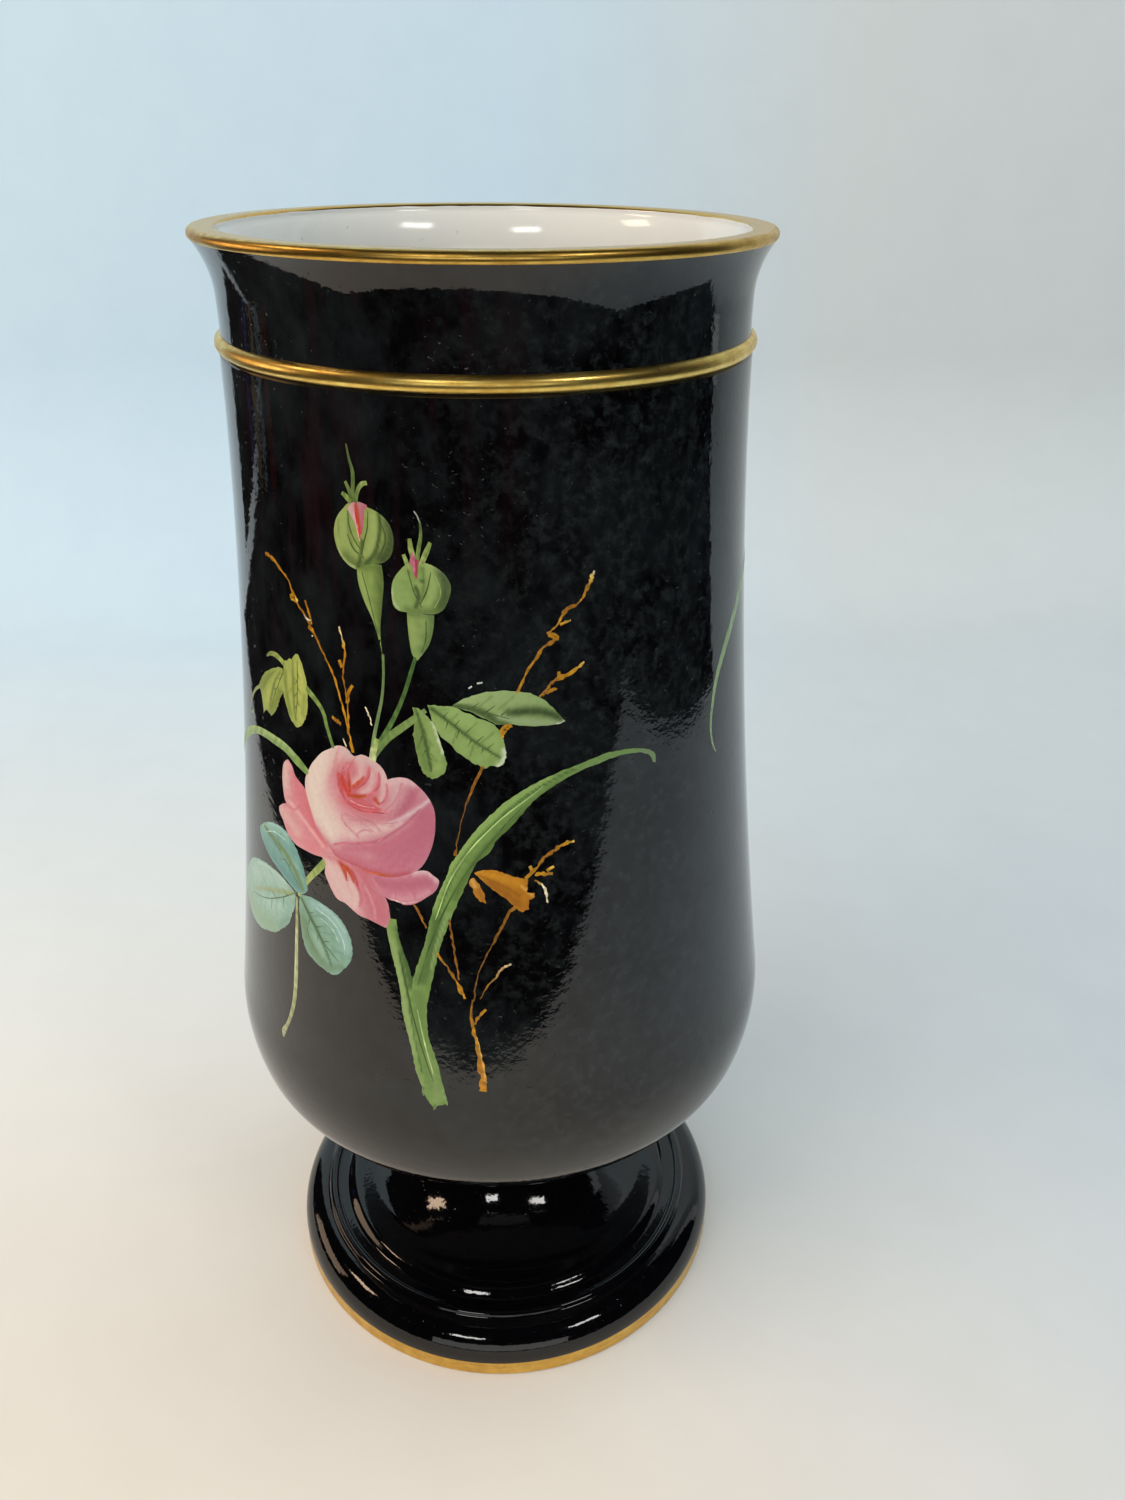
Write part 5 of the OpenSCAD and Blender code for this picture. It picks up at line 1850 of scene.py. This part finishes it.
def paper_sheet():
    profile = [(FLOOR_FRONT, -PAPER_GAP), (FOLD_START, -PAPER_GAP)]
    for step in range(1, FOLD_STEPS + 1):
        angle = pi / 2 * step / FOLD_STEPS
        y = FOLD_START + FOLD_RADIUS * sin(angle)
        profile.append((y, FOLD_RADIUS * (1 - cos(angle)) - PAPER_GAP))
    profile.append((profile[-1][0], BACKDROP_TOP))
    corners = [(-FLOOR_HALF, y, z) for y, z in profile]
    mesh = bpy.data.meshes.new("paper_sheet")
    mesh.from_pydata(corners, [(i, i + 1) for i in range(len(corners) - 1)], [])
    sheet = new_piece("paper_sheet", mesh)
    pick(sheet)
    bpy.ops.object.mode_set(mode="EDIT")
    bpy.ops.mesh.select_all(action="SELECT")
    move = {"value": (2 * FLOOR_HALF, 0, 0)}
    bpy.ops.mesh.extrude_edges_move(TRANSFORM_OT_translate=move)
    bpy.ops.object.mode_set(mode="OBJECT")
    face_outwards(sheet)
    bpy.ops.object.shade_smooth()
    paper = Finish("pale_paper", Roughness=0.75)
    fibres = paper.noise(30 * MM, 4, 0.6)
    # Painted light on the paper: a warm tone in front, a cool blue one behind, and a greyer painted shadow to
    # the right.
    painted_front_light = paper.mix(fibres, colour(226, 216, 202), colour(232, 223, 210))
    painted_shadow_right = paper.mix(fibres, colour(196, 200, 202), colour(203, 207, 209))
    painted_back_light = paper.mix(fibres, colour(194, 215, 228), colour(201, 221, 232))
    painted_back_right = paper.mix(fibres, colour(206, 210, 208), colour(212, 215, 213))
    side = paper.rise(paper.axis("X"), SHADOW_RIGHT_FROM, SHADOW_RIGHT_FULL)
    painted_back_light = paper.mix(side, painted_back_light, painted_back_right)
    painted_front_light = paper.mix(side, painted_front_light, painted_shadow_right)
    back = paper.rise(paper.axis("Y"), BACK_FROM, BACK_FULL)
    paper.set("Base Color", paper.mix(back, painted_front_light, painted_back_light))
    dress(sheet, paper)
    return sheet


sheet = paper_sheet()
print("paper sheet", [round(x, 2) for x in sheet.dimensions])

# %% [markdown]
# A black mirror glaze shows the room. In a white room the vase would look grey, so a studio hangs black
# flags where the glaze would see something bright. These flags are seen by reflections only: a dark
# bench in front of the paper, and a dark tent over it, open behind and to the right, where a pale wall
# gives the long grey glint down that side. Four narrow coloured boards stand for a shelf at the left.

# %% Black flags
PAPER_FRONT_LEFT = (-0.38, -0.21)
PAPER_FRONT_RIGHT = (0.56, -0.42)
BENCH_LEFT_BACK = 0.50
BENCH_RIGHT_BACK = 0.16
WALL_LEFT_BACK = 0.52
WALL_RIGHT_BACK = 0.70
BACK_LEFT_END = -0.56
ROOM = 2.4
FLAG_LIFT = 1 * MM
SHELF_DISTANCE = 1.1
SHELF_LOW = -0.3
SHELF_HIGH = 0.25


def dark_cloth(shade):
    cloth = Finish("dark_cloth", Roughness=0.9)
    # The darker patches are painted shade, as in the folds of hanging cloth.
    painted_fold_shade = cloth.noise(0.25, 3, 0.6)
    low = [part * 0.5 for part in shade]
    cloth.set("Base Color", cloth.mix(painted_fold_shade, (*low, 1), (*shade, 1)))
    cloth.shader.inputs["Specular IOR Level"].default_value = 0.0
    return cloth


def flag(name, corners, cloth):
    mesh = bpy.data.meshes.new(name)
    mesh.from_pydata(corners, [], [(0, 1, 2, 3)])
    panel = new_piece(name, mesh)
    dress(panel, cloth)
    panel.visible_camera = False
    panel.visible_diffuse = False
    panel.visible_shadow = False
    panel.visible_transmission = False
    return panel


def level_flag(name, corners, height=FLAG_LIFT):
    return flag(name, [(x, y, height) for x, y in corners], black_cloth)


def upright_flag(name, start, end, low, high, cloth):
    corners = [(*start, low), (*end, low), (*end, high), (*start, high)]
    return flag(name, corners, cloth)


black_cloth = dark_cloth((0.014, 0.014, 0.015))
left_x, left_y = PAPER_FRONT_LEFT
right_x, right_y = PAPER_FRONT_RIGHT
slope = (right_y - left_y) / (right_x - left_x)
front_at_left = left_y + slope * (-ROOM - left_x)
front_at_right = left_y + slope * (ROOM - left_x)
near_left = (-ROOM, front_at_left)
near_right = (ROOM, front_at_right)
back_left = (-ROOM, WALL_LEFT_BACK)
back_right = (ROOM, WALL_RIGHT_BACK)
level_flag("bench_front", [(-ROOM, -ROOM), (ROOM, -ROOM), near_right, near_left])
level_flag("bench_left", [near_left, PAPER_FRONT_LEFT, (left_x, BENCH_LEFT_BACK), (-ROOM, BENCH_LEFT_BACK)])
level_flag("bench_right", [PAPER_FRONT_RIGHT, near_right, back_right, (right_x, BENCH_RIGHT_BACK)])
level_flag("ceiling", [(-ROOM, -ROOM), (ROOM, -ROOM), (ROOM, ROOM), (-ROOM, ROOM)], ROOM)
upright_flag("wall_front", (-ROOM, -ROOM), (ROOM, -ROOM), 0, ROOM, black_cloth)
upright_flag("wall_left", back_left, (-ROOM, -ROOM), 0, ROOM, black_cloth)
upright_flag("wall_right", (ROOM, -ROOM), back_right, 0, ROOM, black_cloth)
upright_flag("wall_back_left", back_left, (BACK_LEFT_END, WALL_LEFT_BACK), 0, ROOM, black_cloth)
SHELF = {
    "shelf_blue": (-122, -117, (0.05, 0.08, 0.30)),
    "shelf_brown": (-114, -111, (0.30, 0.20, 0.12)),
    "shelf_grey": (-109, -107, (0.30, 0.32, 0.34)),
    "shelf_red": (-104, -101, (0.16, 0.03, 0.03)),
}
for name, (start, end, shade) in SHELF.items():
    ends = [(SHELF_DISTANCE * sin(radians(a)), -SHELF_DISTANCE * cos(radians(a))) for a in (start, end)]
    upright_flag(name, *ends, SHELF_LOW, SHELF_HIGH, dark_cloth(shade))
print("flags hung")

# %% [markdown]
# Light comes mostly from a warm soft lamp at the upper left front and a cool soft window at the right
# back. Smaller lamps put the sharp highlights on the foot and the lip, a long low one runs a bright line
# along the ring, and a small orange one, low at the left, warms that side of the foot. The soft lamps
# are hidden from reflections, so that only these show as glints.

# %% Lamps
AIM = Vector((0, 0, 0.12))


def lamp(name, azimuth, elevation, distance, size, power, tint, glint=True):
    """A lamp of (width, height). Azimuth 0 is in front of the vase, and 90 is to its right."""
    light = bpy.data.lights.new(name, "AREA")
    light.shape = "RECTANGLE"
    light.size, light.size_y = size
    light.energy = power
    light.color = tint
    spot = bpy.data.objects.new(name, light)
    bpy.context.scene.collection.objects.link(spot)
    level = distance * cos(radians(elevation))
    way = Vector((sin(radians(azimuth)) * level, -cos(radians(azimuth)) * level, 0))
    spot.location = AIM + way + Vector((0, 0, distance * sin(radians(elevation))))
    spot.rotation_euler = (AIM - spot.location).to_track_quat("-Z", "Y").to_euler()
    spot.visible_glossy = glint
    return spot


WARM = (1.0, 0.89, 0.78)
COOL = (0.66, 0.85, 1.0)
NEUTRAL = (1.0, 0.98, 0.95)
LAMP_ORANGE = (1.0, 0.72, 0.50)
lamp("key", -55, 46, 1.5, (0.9, 0.9), 12.0, WARM, glint=False)
lamp("window", 112, 50, 1.35, (1.0, 1.0), 5.5, COOL, glint=False)
lamp("top", 0, 88, 1.5, (1.2, 1.2), 5, NEUTRAL, glint=False)
lamp("glint_front", -22, 39, 1.6, (0.34, 0.15), 2.3, NEUTRAL)
lamp("glint_right", 40, 43, 1.6, (0.36, 0.15), 2.3, NEUTRAL)
lamp("glint_left", -90, 42, 1.6, (0.34, 0.20), 2.4, LAMP_ORANGE)
lamp("low_front", -5, 8, 1.9, (2.2, 0.70), 6.0, NEUTRAL)
lamp("low_left", -100, 12, 1.05, (0.50, 0.34), 1.3, LAMP_ORANGE)

# %% [markdown]
# The world adds an even, slightly cool light, as white walls do. Where a view looks past the paper, the
# camera, glass and metal see a plain pale wall instead.

# %% World
AMBIENT_TINT = (0.66, 0.84, 1.0, 1)
AMBIENT_STRENGTH = 0.30
WALL_TINT = colour(214, 220, 224)


def soft_world():
    world = bpy.data.worlds.new("soft_world")
    world.use_nodes = True
    bpy.context.scene.world = world
    tree = world.node_tree
    tree.nodes.clear()
    ray = tree.nodes.new("ShaderNodeLightPath")
    seen = ray.outputs["Is Camera Ray"]
    for kind in ("Is Glossy Ray", "Is Transmission Ray"):
        larger = tree.nodes.new("ShaderNodeMath")
        larger.operation = "MAXIMUM"
        tree.links.new(seen, larger.inputs[0])
        tree.links.new(ray.outputs[kind], larger.inputs[1])
        seen = larger.outputs[0]
    ambient = tree.nodes.new("ShaderNodeBackground")
    ambient.inputs["Color"].default_value = AMBIENT_TINT
    ambient.inputs["Strength"].default_value = AMBIENT_STRENGTH
    wall = tree.nodes.new("ShaderNodeBackground")
    wall.inputs["Color"].default_value = WALL_TINT
    wall.inputs["Strength"].default_value = 1.0
    either = tree.nodes.new("ShaderNodeMixShader")
    tree.links.new(seen, either.inputs[0])
    tree.links.new(ambient.outputs[0], either.inputs[1])
    tree.links.new(wall.outputs[0], either.inputs[2])
    output = tree.nodes.new("ShaderNodeOutputWorld")
    tree.links.new(either.outputs[0], output.inputs["Surface"])


soft_world()
bpy.context.scene.view_settings.view_transform = "Standard"
print("world", bpy.context.scene.world.name, "and view", bpy.context.scene.view_settings.view_transform)
